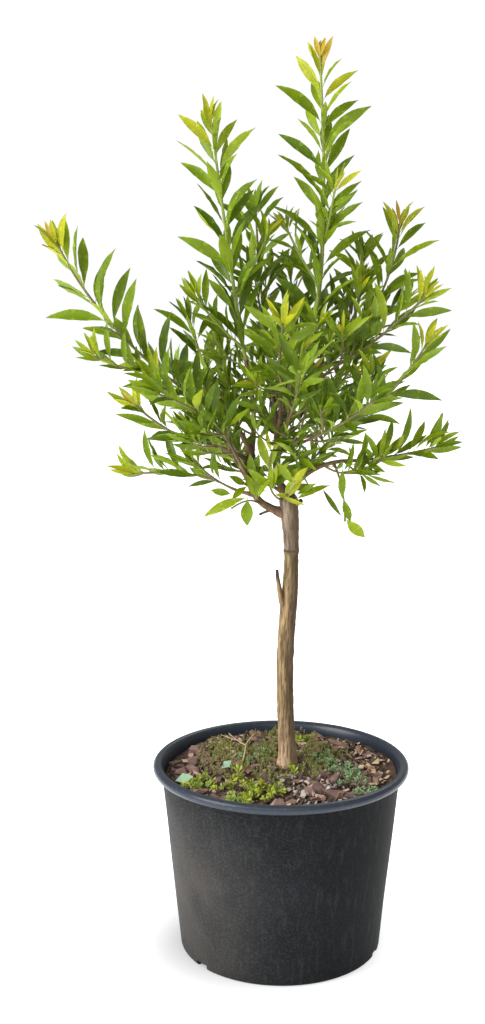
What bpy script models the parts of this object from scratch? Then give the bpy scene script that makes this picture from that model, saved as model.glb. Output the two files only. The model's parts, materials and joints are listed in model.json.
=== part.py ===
"""A potted finger lime: a small tree on a bare trunk, in a round black nursery pot.

Metres, +Z up. The origin is the middle of the pot's flat underside. The pot, the soil, the
trunk, each bough and each leafy shoot is an object of its own, with a clear gap between
neighbours.
"""

import math
import random
from collections import namedtuple

import bmesh
import bpy
from mathutils import Vector
from mathutils.bvhtree import BVHTree

# Clear space between one piece and the next.
GAP = 0.0003

# The pot: a turned tapering wall with a rolled rim, a flat floor and drain slots at its corner.
POT_HEIGHT = 0.1956
POT_BASE_RADIUS = 0.1024
POT_TOP_RADIUS = 0.1222
POT_WALL = 0.0022
POT_FLOOR = 0.0030
POT_CORNER = 0.0040
RIM_OUTER_RADIUS = 0.1300
RIM_TUBE_RADIUS = 0.0048
POT_SEGMENTS = 36
DRAIN_SLOTS = 3
DRAIN_WIDTH = 0.016
DRAIN_HEIGHT = 0.006
DRAIN_DEPTH = 0.007
DRAIN_FIRST_ANGLE = math.radians(219)

# The soil is heaped a little round the trunk and lies lower along the wall.
SOIL_TOP = 0.1860
SOIL_EDGE = 0.1796
SOIL_FLAT_RADIUS = 0.026
SOIL_RINGS = 3
SOIL_BUMP = 0.0012

# The trunk, from the soil to its head, where the boughs leave it.
TRUNK_FOOT = Vector((0.0073, 0.0080, SOIL_TOP + GAP))
TRUNK_HEAD = Vector((0.0064, 0.0000, 0.4640))
TRUNK_RADIUS = 0.0085
TRUNK_FLARE = 0.0036
TRUNK_FLARE_FADE = 0.035
TRUNK_WAIST = 0.0013
TRUNK_WAIST_PLACE = 0.80
TRUNK_WAIST_SPREAD = 0.11
TRUNK_SWELL = 0.0010
TRUNK_SWAY = 0.0030
TRUNK_SIDES = 11
TRUNK_STEPS = 12

# A snag of a pruned branch, low on the left of the trunk.
SNAG_PLACE = 0.60
SNAG_TIP = Vector((-0.0048, -0.0040, 0.3935))
SNAG_BOW = Vector((-0.0027, -0.0010, -0.0069))
SNAG_RADIUS = 0.0020

# A bough's radius falls to this share of its foot by its tip.
BOUGH_TAPER = 0.72
BOUGH_SIDES = 6
BOUGH_STEP = 0.015
TWIG_SIDES = 3
TWIG_STEP = 0.034
TWIG_TIP_RADIUS = 0.0011
SIDE_TWIG_RADIUS = 0.0013

# A leaf is a folded blade, widest before its middle, that bends back a little at its tip.
LEAF_LENGTH = 0.056
LEAF_WIDTH_RATIO = 0.26
LEAF_THICKNESS = 0.0012
LEAF_BELLY = 0.45
LEAF_FOLD = 0.0012
LEAF_ARCH = 0.05
LEAF_SMALLEST = 0.45
LEAF_SPACING = 0.0080
LEAF_FIRST = 0.05
LEAF_LAST = 0.95
LEAF_CLOSING_FROM = 0.80
LEAF_OPEN_ANGLE = math.radians(58)
LEAF_CLOSED_ANGLE = math.radians(30)
LEAF_LIFT = 0.20
LEAF_ROOT_DEPTH = 0.0006
TUFT_LEAVES = 4
TUFT_SPACING = 0.0022
LEAF_CLEAR = 0.0005
LEAF_FREE_FROM = 0.22
CROWD_RATIO = 0.55
SPIRAL = math.radians(137.5)

# Side twigs leave the lower half of a leafy shoot and stay shorter than it.
SIDE_TWIG_ANGLE = math.radians(42)
SIDE_TWIG_SHARE = 0.42
SIDE_TWIG_LONGEST = 0.070
SHOOT_SWEEP = 0.42

SEED = 11

# One row for each limb: the limb it leaves and how far along that, where its bare bough ends,
# where the tip of its leafy shoot is, the bough's radius at its foot, the number of side twigs
# on the shoot, how far the middle of the bough bows off the straight line, how much its leaves
# turn up to the light or, below zero, droop, their size beside that of most leaves, and how far,
# as a share of its length, the shoot goes on in the bough's direction before it turns.
Limb = namedtuple("Limb", "parent place elbow tip radius twigs bow lift size sweep",
                  defaults=[(0, 0, 0), LEAF_LIFT, 1.0, SHOOT_SWEEP])
LIMBS = {
    "leader": Limb("trunk", 0.970, (0.0255, 0.010, 0.621), (0.034, 0.010, 0.888), 0.0034, 3,
                   (-0.021, 0.000, -0.022), LEAF_LIFT, 1.0, 0.22),
    "left": Limb("trunk", 0.844, (-0.029, -0.010, 0.513), None, 0.0043, 0,
                 (-0.0172, -0.001, -0.0098)),
    "left_long": Limb("left", 0.950, (-0.072, -0.022, 0.560), (-0.213, -0.034, 0.714), 0.0030, 2,
                      (0.006, -0.001, 0.004), LEAF_LIFT, 1.0, 0.55),
    "tall_left": Limb("left", 0.800, (-0.036, 0.000, 0.602), (-0.069, -0.008, 0.829), 0.0027, 2,
                      (0.006, 0.001, 0.000), LEAF_LIFT, 1.0, 0.15),
    "left_mid": Limb("left", 0.890, (-0.074, -0.032, 0.524), (-0.139, -0.062, 0.564), 0.0023, 1,
                     (-0.002, -0.002, 0.005)),
    "left_low": Limb("left", 0.480, (-0.059, 0.010, 0.479), (-0.150, 0.024, 0.486), 0.0021, 1,
                     (0.000, 0.000, -0.002)),
    "left_spur": Limb("left", 0.300, (-0.030, -0.014, 0.466), (-0.050, -0.026, 0.460), 0.0015, 0,
                      (0.000, 0.000, 0.000), -0.70, 0.60),
    "left_inner": Limb("left_long", 0.250, (-0.062, 0.035, 0.560), (-0.093, 0.064, 0.640),
                       0.0020, 1),
    "right_upper": Limb("leader", 0.780, (0.058, 0.016, 0.612), (0.114, 0.024, 0.732), 0.0022, 2,
                        (0.000, 0.000, -0.002), LEAF_LIFT, 1.0, 0.50),
    "right_reach": Limb("leader", 0.660, (0.060, -0.022, 0.603), (0.131, -0.050, 0.664), 0.0021, 1,
                        (0.001, -0.002, 0.005)),
    "right_mid": Limb("leader", 0.470, (0.052, -0.030, 0.539), (0.132, -0.064, 0.622), 0.0023, 2),
    "right_low": Limb("trunk", 0.960, (0.071, -0.012, 0.505), (0.148, -0.032, 0.521), 0.0031, 1,
                      (-0.007, 0.000, 0.0094)),
    "right_inner": Limb("leader", 0.840, (0.064, 0.045, 0.631), (0.081, 0.060, 0.704), 0.0020, 1),
    "hanging": Limb("right_low", 0.740, (0.058, -0.016, 0.478), (0.061, -0.020, 0.446), 0.0014, 0,
                    (0.000, 0.000, 0.004), -0.75, 0.62),
    "front": Limb("leader", 0.350, (0.007, -0.060, 0.558), (0.011, -0.146, 0.600), 0.0022, 1),
    "front_top": Limb("leader", 0.610, (-0.004, -0.050, 0.594), (-0.003, -0.114, 0.642), 0.0021,
                      1),
    "front_left": Limb("left", 0.700, (-0.055, -0.062, 0.535), (-0.115, -0.114, 0.580), 0.0022,
                       1),
    "front_right": Limb("leader", 0.410, (0.035, -0.062, 0.537), (0.080, -0.121, 0.575), 0.0022,
                        1),
    "fork_spur": Limb("trunk", 0.985, (0.006, -0.019, 0.474), (0.010, -0.060, 0.492), 0.0017, 0,
                      (0.000, 0.000, 0.000), 0.30, 0.80),
    "back_tall": Limb("leader", 0.540, (-0.016, 0.045, 0.624), (-0.026, 0.066, 0.750), 0.0023, 2),
    "back_centre": Limb("leader", 0.650, (0.010, 0.055, 0.618), (0.009, 0.090, 0.690), 0.0021, 1),
    "back_left": Limb("left", 0.610, (-0.058, 0.062, 0.516), (-0.113, 0.132, 0.578), 0.0022, 1),
    "back_right": Limb("leader", 0.380, (0.034, 0.068, 0.540), (0.086, 0.137, 0.595), 0.0022, 1),
    "back": Limb("leader", 0.500, (-0.011, 0.070, 0.560), (-0.019, 0.156, 0.614), 0.0022, 1),
    "back_low_right": Limb("trunk", 0.950, (0.026, 0.058, 0.488), (0.060, 0.142, 0.500), 0.0022,
                           1),
    "back_low_left": Limb("trunk", 0.940, (-0.025, 0.058, 0.481), (-0.068, 0.138, 0.494), 0.0022,
                          1),
}


def clear_scene():
    for thing in list(bpy.data.objects):
        bpy.data.objects.remove(thing, do_unlink=True)


def new_material(name, colour, roughness, metallic=0.0):
    material = bpy.data.materials.new(name)
    material.use_nodes = True
    shader = material.node_tree.nodes["Principled BSDF"]
    shader.inputs["Base Color"].default_value = (*colour, 1.0)
    shader.inputs["Roughness"].default_value = roughness
    shader.inputs["Metallic"].default_value = metallic
    material.diffuse_color = (*colour, 1.0)
    return material


def new_object(name, vertices, faces, material=None):
    """An object at the origin with the given mesh."""
    mesh = bpy.data.meshes.new(name)
    mesh.from_pydata([tuple(vertex) for vertex in vertices], [], faces)
    mesh.update()
    piece = bpy.data.objects.new(name, mesh)
    bpy.context.scene.collection.objects.link(piece)
    if material:
        mesh.materials.append(material)
    return piece


def boolean_mesh(piece, operation, group, solver):
    """The mesh that a Boolean of `piece` with every object of a collection gives."""
    modifier = piece.modifiers.new("boolean", "BOOLEAN")
    modifier.operation = operation
    modifier.operand_type = "COLLECTION"
    modifier.collection = group
    modifier.solver = solver
    bpy.context.view_layer.update()
    evaluated = piece.evaluated_get(bpy.context.evaluated_depsgraph_get())
    mesh = bpy.data.meshes.new_from_object(evaluated)
    piece.modifiers.clear()
    return mesh


def main_shell(mesh):
    """Keeps the shell with the most points, and says whether it is closed.

    That drops a loose scrap and fills a sealed hollow.
    """
    shape = bmesh.new()
    shape.from_mesh(mesh)
    unseen = set(shape.verts)
    shells = []
    while unseen:
        front = [unseen.pop()]
        shell = list(front)
        while front:
            vertex = front.pop()
            for edge in vertex.link_edges:
                other = edge.other_vert(vertex)
                if other in unseen:
                    unseen.remove(other)
                    front.append(other)
                    shell.append(other)
        shells.append(shell)
    shells.sort(key=len, reverse=True)
    closed = all(edge.is_manifold for edge in shape.edges) and len(shells) == 1
    for shell in shells[1:]:
        bmesh.ops.delete(shape, geom=shell, context="VERTS")
    shape.to_mesh(mesh)
    shape.free()
    return closed


def apply_boolean(piece, operation, tools):
    """Cuts `piece` by every tool, or joins it with them, and removes the tools.

    The second solver takes over where the first leaves the shape open or in bits.
    """
    group = bpy.data.collections.new("tools of " + piece.name)
    bpy.context.scene.collection.children.link(group)
    for tool in tools:
        group.objects.link(tool)
    before = piece.data
    result = boolean_mesh(piece, operation, group, "EXACT")
    if not main_shell(result):
        bpy.data.meshes.remove(result)
        result = boolean_mesh(piece, operation, group, "MANIFOLD")
        main_shell(result)
    piece.data = result
    bpy.data.meshes.remove(before)
    result.name = piece.name
    for tool in tools:
        bpy.data.objects.remove(tool, do_unlink=True)
    bpy.data.collections.remove(group)


def shade_round(piece, angle=math.radians(40)):
    piece.data.shade_smooth()
    piece.data.set_sharp_from_angle(angle=angle)


def turned_shape(profile, segments):
    """The vertices and faces of a profile turned round Z; both its ends lie on the axis."""
    vertices = [Vector((0, 0, profile[0][1]))]
    for radius, height in profile[1:-1]:
        for step in range(segments):
            angle = 2 * math.pi * step / segments
            vertices.append(Vector((radius * math.cos(angle), radius * math.sin(angle), height)))
    vertices.append(Vector((0, 0, profile[-1][1])))
    last = len(vertices) - 1
    rings = len(profile) - 2
    faces = []
    for step in range(segments):
        after = (step + 1) % segments
        faces.append((0, 1 + after, 1 + step))
        for ring in range(rings - 1):
            low = 1 + ring * segments
            high = low + segments
            faces.append((low + step, low + after, high + after, high + step))
        top = 1 + (rings - 1) * segments
        faces.append((top + step, top + after, last))
    return vertices, faces


def wall_radius(height):
    """The outer radius of the pot's wall at a height."""
    return POT_BASE_RADIUS + (POT_TOP_RADIUS - POT_BASE_RADIUS) * height / POT_HEIGHT


def arc(centre, radius, start, end, steps):
    """Points of an arc in the profile's plane; angles in degrees, 0 pointing outwards."""
    points = []
    for step in range(steps + 1):
        angle = math.radians(start + (end - start) * step / steps)
        points.append((centre[0] + radius * math.cos(angle), centre[1] + radius * math.sin(angle)))
    return points


def make_pot(material):
    rim = (RIM_OUTER_RADIUS - RIM_TUBE_RADIUS, POT_HEIGHT - RIM_TUBE_RADIUS)
    corner = (wall_radius(POT_CORNER) - POT_CORNER, POT_CORNER)
    profile = [(0, 0)]
    profile += arc(corner, POT_CORNER, -90, -6, 2)
    profile.append((wall_radius(rim[1] - RIM_TUBE_RADIUS), rim[1] - RIM_TUBE_RADIUS))
    profile += arc(rim, RIM_TUBE_RADIUS, -100, 130, 6)
    lip_height = POT_HEIGHT - RIM_TUBE_RADIUS
    profile.append((wall_radius(lip_height) - POT_WALL, lip_height))
    floor_radius = wall_radius(POT_FLOOR) - POT_WALL
    profile.append((wall_radius(POT_CORNER * 2) - POT_WALL, POT_CORNER * 2))
    profile.append((floor_radius - POT_CORNER, POT_FLOOR))
    profile.append((0, POT_FLOOR))
    pot = new_object("pot", *turned_shape(profile, POT_SEGMENTS), material)
    apply_boolean(pot, "DIFFERENCE", [drain_cutter(number) for number in range(DRAIN_SLOTS)])
    shade_round(pot)
    return pot


def drain_cutter(number):
    """A block that cuts one drain slot through the pot's bottom corner."""
    angle = DRAIN_FIRST_ANGLE + 2 * math.pi * number / DRAIN_SLOTS
    outward = Vector((math.cos(angle), math.sin(angle), 0))
    across = Vector((-math.sin(angle), math.cos(angle), 0))
    near = POT_BASE_RADIUS - DRAIN_DEPTH
    far = POT_BASE_RADIUS + DRAIN_DEPTH
    corners = []
    for height in (-DRAIN_HEIGHT, DRAIN_HEIGHT):
        for reach, side in ((near, -1), (far, -1), (far, 1), (near, 1)):
            place = outward * reach + across * side * DRAIN_WIDTH / 2
            corners.append(place + Vector((0, 0, height)))
    faces = [(3, 2, 1, 0), (4, 5, 6, 7)]
    faces += [(side, (side + 1) % 4, (side + 1) % 4 + 4, side + 4) for side in range(4)]
    return new_object("drain cutter", corners, faces)


def make_soil(material, chance):
    """The soil fills the pot and is heaped up to a flat spot under the trunk."""
    bottom = POT_FLOOR + GAP
    inset = POT_WALL + GAP
    edge_radius = wall_radius(SOIL_EDGE) - inset
    profile = [(0, bottom), (wall_radius(bottom) - inset - POT_CORNER, bottom)]
    profile.append((wall_radius(POT_CORNER * 2) - inset, POT_CORNER * 2))
    for ring in range(SOIL_RINGS + 1):
        share = ring / SOIL_RINGS
        radius = edge_radius + (SOIL_FLAT_RADIUS - edge_radius) * share
        rise = (1 - math.cos(math.pi * share)) / 2
        profile.append((radius, SOIL_EDGE + (SOIL_TOP - SOIL_EDGE) * rise))
    profile.append((0, SOIL_TOP))
    vertices, faces = turned_shape(profile, POT_SEGMENTS)
    first_loose = 1 + 3 * POT_SEGMENTS
    last_loose = first_loose + (SOIL_RINGS - 1) * POT_SEGMENTS
    for vertex in vertices[first_loose:last_loose]:
        vertex.z += chance.uniform(-SOIL_BUMP, SOIL_BUMP)
    soil = new_object("soil", vertices, faces, material)
    shade_round(soil)
    return soil


def trunk_centre(share):
    """The trunk's middle line, which sways a little to the left and then to the right."""
    centre = TRUNK_FOOT.lerp(TRUNK_HEAD, share)
    centre.x -= TRUNK_SWAY * math.sin(2 * math.pi * share ** 1.3)
    return centre


def trunk_radius(share):
    flare = TRUNK_FLARE * math.exp(-share / TRUNK_FLARE_FADE)
    waist = TRUNK_WAIST * math.exp(-((share - TRUNK_WAIST_PLACE) / TRUNK_WAIST_SPREAD) ** 2)
    swell = TRUNK_SWELL * max(0.0, (share - 0.80) / 0.20)
    return TRUNK_RADIUS + flare - waist + swell


def trunk_path():
    """Points and radii up the trunk, closer together in the flare, ending in a rounded head."""
    shares = [0, 0.012, 0.03, 0.06]
    shares += [0.06 + 0.94 * step / TRUNK_STEPS for step in range(1, TRUNK_STEPS + 1)]
    points = [trunk_centre(share) for share in shares]
    radii = [trunk_radius(share) for share in shares]
    head = (points[-1] - points[-2]).normalized()
    for rise, share in ((0.0030, 0.86), (0.0048, 0.50)):
        points.append(points[len(shares) - 1] + head * rise)
        radii.append(radii[len(shares) - 1] * share)
    return points, radii


def curve(start, bend, end, step_length):
    """Points on the arc that leaves `start` towards `bend` and reaches `end` from it."""
    length = (bend - start).length + (end - bend).length
    steps = max(3, round(length / step_length))
    points = []
    for step in range(steps + 1):
        share = step / steps
        points.append(start * (1 - share) ** 2 + bend * 2 * share * (1 - share) + end * share ** 2)
    return points


def swept_tube(points, radii, sides, first_facing=None):
    """A closed tube through the points. Its foot can be set to face a given way."""
    vertices = []
    side_way = None
    for number, point in enumerate(points):
        before = points[max(0, number - 1)]
        after = points[min(len(points) - 1, number + 1)]
        along = (after - before).normalized()
        if number == 0 and first_facing:
            along = first_facing
        if side_way is None:
            side_way = along.orthogonal()
        side_way = (side_way - along * side_way.dot(along)).normalized()
        other_way = along.cross(side_way)
        for side in range(sides):
            angle = 2 * math.pi * side / sides
            spoke = side_way * math.cos(angle) + other_way * math.sin(angle)
            vertices.append(point + spoke * radii[number])
    faces = [tuple(reversed(range(sides)))]
    for ring in range(len(points) - 1):
        low = ring * sides
        high = low + sides
        for side in range(sides):
            after = (side + 1) % sides
            faces.append((low + side, low + after, high + after, high + side))
    faces.append(tuple(range((len(points) - 1) * sides, len(points) * sides)))
    return vertices, faces


def fattened(points, radii, sides):
    """The same tube, thicker and longer by the gap, to cut a neighbour with."""
    extra = GAP / math.cos(math.pi / sides)
    first = points[0] - (points[1] - points[0]).normalized() * GAP
    last = points[-1] + (points[-1] - points[-2]).normalized() * GAP
    return swept_tube([first, *points[1:-1], last], [radius + extra for radius in radii], sides)


def place_on(points, share):
    """The point that lies a share of the way along a path."""
    spot = share * (len(points) - 1)
    number = min(int(spot), len(points) - 2)
    return points[number].lerp(points[number + 1], spot - number)


def bough_path(limb, parent_points):
    start = place_on(parent_points, limb.place)
    end = Vector(limb.elbow)
    bend = (start + end) / 2 + 2 * Vector(limb.bow)
    points = curve(start, bend, end, BOUGH_STEP)
    last = len(points) - 1
    radii = [limb.radius * (1 + (BOUGH_TAPER - 1) * n / last) for n in range(last + 1)]
    return points, radii


class Filled:
    """The space that limbs and leaves fill already, and whose each piece is."""

    def __init__(self):
        self.pieces = []

    def add(self, owner, vertices, faces):
        centre = sum(vertices, Vector()) / len(vertices)
        reach = max((vertex - centre).length for vertex in vertices)
        self.pieces.append((owner, centre, reach, BVHTree.FromPolygons(vertices, faces)))

    def touches(self, vertices, faces, but_not=None):
        centre = sum(vertices, Vector()) / len(vertices)
        reach = max((vertex - centre).length for vertex in vertices)
        tree = None
        for owner, other_centre, other_reach, other_tree in self.pieces:
            if owner == but_not or (other_centre - centre).length > reach + other_reach:
                continue
            tree = tree or BVHTree.FromPolygons(vertices, faces)
            if tree.overlap(other_tree):
                return True
        return False


def leaf_shape(root, along, facing, length, extra=0.0, begin=0.0):
    """Eight faces: root, tip, two edges and the midrib above and below.

    `extra` thickens it for a test of the space round it, which can leave out the stretch
    before `begin`.
    """
    side = along.cross(facing).normalized()
    facing = side.cross(along).normalized()
    tip = root + along * (length + extra) - facing * length * LEAF_ARCH
    belly = root + along * length * LEAF_BELLY + facing * length * LEAF_ARCH
    start = root.lerp(belly, begin / LEAF_BELLY) if begin else root
    half_width = side * (length * LEAF_WIDTH_RATIO / 2 + extra)
    half_thick = facing * (LEAF_THICKNESS / 2 + extra)
    fold = facing * LEAF_FOLD
    vertices = [start, tip, belly - half_width + fold, belly + half_width + fold,
                belly + half_thick, belly - half_thick]
    faces = [(0, 4, 2), (0, 3, 4), (0, 2, 5), (0, 5, 3), (1, 2, 4), (1, 4, 3), (1, 5, 2), (1, 3, 5)]
    return vertices, faces


def nearest(points, place):
    return min((point - place).length for point in points)


def leaf_places(points, first_angle, limb, chance):
    """Each leaf of a stem: its root, the way it points, the way it faces and its length.

    Leaves follow a spiral. They stand off the stem low down and close up towards its tip,
    where a tuft of small ones ends it. All turn a little to the light, or droop.
    """
    length = sum((b - a).length for a, b in zip(points, points[1:]))
    count = max(3, round((LEAF_LAST - LEAF_FIRST) * length / LEAF_SPACING))
    shares = [LEAF_FIRST + (LEAF_LAST - LEAF_FIRST) * n / count for n in range(count)]
    for number in range(TUFT_LEAVES):
        shares.append(1 - (TUFT_LEAVES - number) * TUFT_SPACING / length)
    places = []
    for number, share in enumerate(shares):
        stem_way = (place_on(points, min(1.0, share + 0.02))
                    - place_on(points, max(0.0, share - 0.02))).normalized()
        turn = first_angle + SPIRAL * number + chance.uniform(-0.25, 0.25)
        aside = stem_way.orthogonal().normalized()
        spoke = aside * math.cos(turn) + stem_way.cross(aside) * math.sin(turn)
        closing = max(0.0, share - LEAF_CLOSING_FROM) / (1 - LEAF_CLOSING_FROM)
        angle = LEAF_OPEN_ANGLE + (LEAF_CLOSED_ANGLE - LEAF_OPEN_ANGLE) * closing
        angle += chance.uniform(-0.15, 0.15)
        along = stem_way * math.cos(angle) + spoke * math.sin(angle)
        along = (along + Vector((0, 0, limb.lift))).normalized()
        size = LEAF_LENGTH * limb.size * (1 - (1 - LEAF_SMALLEST) * closing ** 2)
        size *= chance.uniform(0.82, 1.06)
        facing = stem_way + Vector((0, 0, 0.6)) - along * 0.5
        root = place_on(points, share) - along * LEAF_ROOT_DEPTH
        places.append((root, along, facing, size))
    return places


def twig_radii(points, start_radius):
    last = len(points) - 1
    return [start_radius + (TWIG_TIP_RADIUS - start_radius) * n / last for n in range(last + 1)]


def side_twigs(points, count, chance):
    """Short twigs that leave the lower part of a shoot on a spiral."""
    length = sum((b - a).length for a, b in zip(points, points[1:]))
    twigs = []
    for number in range(count):
        share = 0.06 + 0.42 * number / max(1, count)
        root = place_on(points, share)
        stem_way = (place_on(points, share + 0.03) - place_on(points, share - 0.03)).normalized()
        aside = stem_way.orthogonal().normalized()
        turn = SPIRAL * number + chance.uniform(0, 2 * math.pi)
        spoke = aside * math.cos(turn) + stem_way.cross(aside) * math.sin(turn)
        reach = min(SIDE_TWIG_LONGEST, SIDE_TWIG_SHARE * length * (1 - 0.6 * share))
        start_way = stem_way * math.cos(SIDE_TWIG_ANGLE) + spoke * math.sin(SIDE_TWIG_ANGLE)
        bend = root + start_way * reach * 0.5
        tip = bend + (start_way + Vector((0, 0, 0.5))).normalized() * reach * 0.5
        twigs.append(curve(root, bend, tip, TWIG_STEP))
    return twigs


def shoot_path(limb, bough_points, bough_tip_radius):
    """The leafy stem that goes on from a bough's tip, in the bough's own direction at first."""
    facing = (bough_points[-1] - bough_points[-2]).normalized()
    start = bough_points[-1] + facing * GAP
    end = Vector(limb.tip)
    bend = start + facing * (end - start).length * limb.sweep
    points = curve(start, bend, end, TWIG_STEP)
    return points, twig_radii(points, bough_tip_radius * 1.15), facing


def plan_stems(boughs, filled, chance):
    """Every shoot's main stem, then the side twigs that clear all of those."""
    stems = {}
    for name, limb in LIMBS.items():
        if limb.tip is None:
            continue
        points, radii = boughs[name]
        path, path_radii, facing = shoot_path(limb, points, radii[-1])
        shape = swept_tube(path, path_radii, TWIG_SIDES, facing)
        filled.add(name, *shape)
        stems[name] = [(path, shape)]
    for name, limb in LIMBS.items():
        if limb.tip is None:
            continue
        for path in side_twigs(stems[name][0][0], limb.twigs, chance):
            radii = twig_radii(path, SIDE_TWIG_RADIUS)
            wide = swept_tube(path, [r + 2 * LEAF_CLEAR for r in radii], TWIG_SIDES)
            if not filled.touches(*wide, but_not=name):
                shape = swept_tube(path, radii, TWIG_SIDES)
                filled.add(name, *shape)
                stems[name].append((path, shape))
    return stems


def grow_leaves(name, stems, filled, chance):
    """The leaves of one shoot that stay in its own space and touch nothing."""
    own = [point for path, _ in stems[name] for point in path]
    others = [point for other, group in stems.items() if other != name
              for path, _ in group for point in path]
    leaves = []
    for path, _ in stems[name]:
        first_angle = chance.uniform(0, 2 * math.pi)
        for root, along, facing, size in leaf_places(path, first_angle, LIMBS[name], chance):
            tip = root + along * size
            if nearest(others, tip) < CROWD_RATIO * nearest(own, tip):
                continue
            if tip.z < SOIL_TOP + 0.1:
                continue
            whole = leaf_shape(root, along, facing, size, LEAF_CLEAR)
            if filled.touches(*whole, but_not=name):
                continue
            outer = leaf_shape(root, along, facing, size, LEAF_CLEAR, LEAF_FREE_FROM)
            if filled.touches(*outer):
                continue
            shape = leaf_shape(root, along, facing, size)
            filled.add(name, *leaf_shape(root, along, facing, size, 0.0, LEAF_FREE_FROM / 2))
            leaves.append(shape)
    return leaves


def make_shoot(name, stems, leaves, material):
    """One solid: the shoot's stem with its side twigs and leaves fused on."""
    first = stems[name][0][1]
    shoot = new_object("leaves_" + name, *first, material)
    tools = [new_object("twig", *shape) for _, shape in stems[name][1:]]
    tools += [new_object("leaf", *shape) for shape in leaves]
    apply_boolean(shoot, "UNION", tools)
    return shoot


def make_boughs(bark, trunk_points, trunk_radii, filled):
    """Each bough, cut clear of the limb that it leaves and of the boughs made before it."""
    paths = {"trunk": (trunk_points, trunk_radii)}
    sides = {"trunk": TRUNK_SIDES}
    for name, limb in LIMBS.items():
        points, radii = bough_path(limb, paths[limb.parent][0])
        paths[name] = (points, radii)
        sides[name] = BOUGH_SIDES
        shape = swept_tube(points, radii, BOUGH_SIDES)
        bough = new_object("bough_" + name, *shape, bark)
        cutters = []
        for other in paths:
            if other == name:
                continue
            fat = fattened(*paths[other], sides[other])
            if other == limb.parent or BVHTree.FromPolygons(*fat).overlap(
                    BVHTree.FromPolygons(*shape)):
                cutters.append(new_object("bough cutter", *fat))
        apply_boolean(bough, "DIFFERENCE", cutters)
        shade_round(bough)
        filled.add("bough_" + name, *shape)
    return paths


def make_snag(bark, trunk_points, trunk_radii, filled):
    start = place_on(trunk_points, SNAG_PLACE)
    bend = (start + SNAG_TIP) / 2 + 2 * SNAG_BOW
    points = curve(start, bend, SNAG_TIP, BOUGH_STEP)
    last = len(points) - 1
    radii = [SNAG_RADIUS * (1 - 0.45 * n / last) for n in range(last + 1)]
    snag = new_object("snag", *swept_tube(points, radii, BOUGH_SIDES), bark)
    cutter = new_object("snag cutter", *fattened(trunk_points, trunk_radii, TRUNK_SIDES))
    apply_boolean(snag, "DIFFERENCE", [cutter])
    shade_round(snag)


def build():
    clear_scene()
    chance = random.Random(SEED)
    plastic = new_material("pot_plastic", (0.042, 0.044, 0.048), 0.62)
    soil = new_material("soil_mix", (0.115, 0.070, 0.050), 0.95)
    bark = new_material("bark", (0.330, 0.225, 0.150), 0.85)
    green = new_material("leaf", (0.130, 0.270, 0.025), 0.42)

    make_pot(plastic)
    make_soil(soil, chance)
    filled = Filled()
    trunk_points, trunk_radii = trunk_path()
    trunk_shape = swept_tube(trunk_points, trunk_radii, TRUNK_SIDES, Vector((0, 0, 1)))
    trunk = new_object("trunk", *trunk_shape, bark)
    shade_round(trunk)
    filled.add("trunk", *trunk_shape)
    make_snag(bark, trunk_points, trunk_radii, filled)
    boughs = make_boughs(bark, trunk_points, trunk_radii, filled)
    stems = plan_stems(boughs, filled, chance)
    total = 0
    for name in stems:
        leaves = grow_leaves(name, stems, filled, chance)
        total += len(leaves)
        make_shoot(name, stems, leaves, green)
    print("leaves", total, "objects", len(bpy.data.objects))


build()
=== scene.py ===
# %% [markdown]
# A finger lime in a round black nursery pot: a bare grafted trunk, brown limbs, green shoots
# and a crown of narrow leaves. The frame below is the plain solid model of the same plant, at
# its real size in metres. This script never moves those solids. It grows a detailed piece in
# the place of each one.

# %% Load the frame
import json
import math
import random
from collections import namedtuple

import bmesh
import bpy
from mathutils import Euler, Matrix, Vector, noise
from mathutils.kdtree import KDTree

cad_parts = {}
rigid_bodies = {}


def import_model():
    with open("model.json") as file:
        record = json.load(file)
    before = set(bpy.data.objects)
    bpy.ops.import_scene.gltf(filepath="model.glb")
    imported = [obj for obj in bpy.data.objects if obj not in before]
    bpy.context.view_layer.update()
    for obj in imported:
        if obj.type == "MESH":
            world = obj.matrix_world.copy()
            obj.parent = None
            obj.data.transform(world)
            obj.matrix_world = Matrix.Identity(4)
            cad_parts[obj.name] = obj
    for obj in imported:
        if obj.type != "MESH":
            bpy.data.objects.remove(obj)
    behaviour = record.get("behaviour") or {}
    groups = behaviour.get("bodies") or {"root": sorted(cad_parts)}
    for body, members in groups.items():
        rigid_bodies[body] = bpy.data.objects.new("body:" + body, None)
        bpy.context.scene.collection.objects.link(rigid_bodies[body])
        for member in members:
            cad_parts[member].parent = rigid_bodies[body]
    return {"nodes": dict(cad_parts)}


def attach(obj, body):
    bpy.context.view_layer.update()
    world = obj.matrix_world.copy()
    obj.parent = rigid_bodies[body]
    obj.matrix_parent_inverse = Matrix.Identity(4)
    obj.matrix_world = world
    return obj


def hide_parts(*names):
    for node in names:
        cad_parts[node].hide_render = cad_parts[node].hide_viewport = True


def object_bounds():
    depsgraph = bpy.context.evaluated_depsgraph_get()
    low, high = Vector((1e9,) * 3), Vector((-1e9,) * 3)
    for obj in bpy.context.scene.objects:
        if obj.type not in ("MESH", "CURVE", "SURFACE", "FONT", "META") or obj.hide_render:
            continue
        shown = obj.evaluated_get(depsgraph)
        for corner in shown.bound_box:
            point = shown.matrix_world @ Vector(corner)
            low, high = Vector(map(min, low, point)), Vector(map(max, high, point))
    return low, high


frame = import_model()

BODY = "root"
cad_low, cad_high = [list(corner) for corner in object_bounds()]
NODES = sorted(frame["nodes"])
print("solids in the frame:", len(NODES))
print("their box in metres:", [round(high - low, 3) for low, high in zip(cad_low, cad_high)])

# %% [markdown]
# The photograph was taken from a little above the crown's middle, with a long lens. A camera is
# an object like any other: its lens is in millimetres on a sensor 36 mm wide, and it looks along
# its own -Z, so that a quarter turn about X makes it look along +Y. It looks down by the few
# degrees that lay the pot's rim open.

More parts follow.
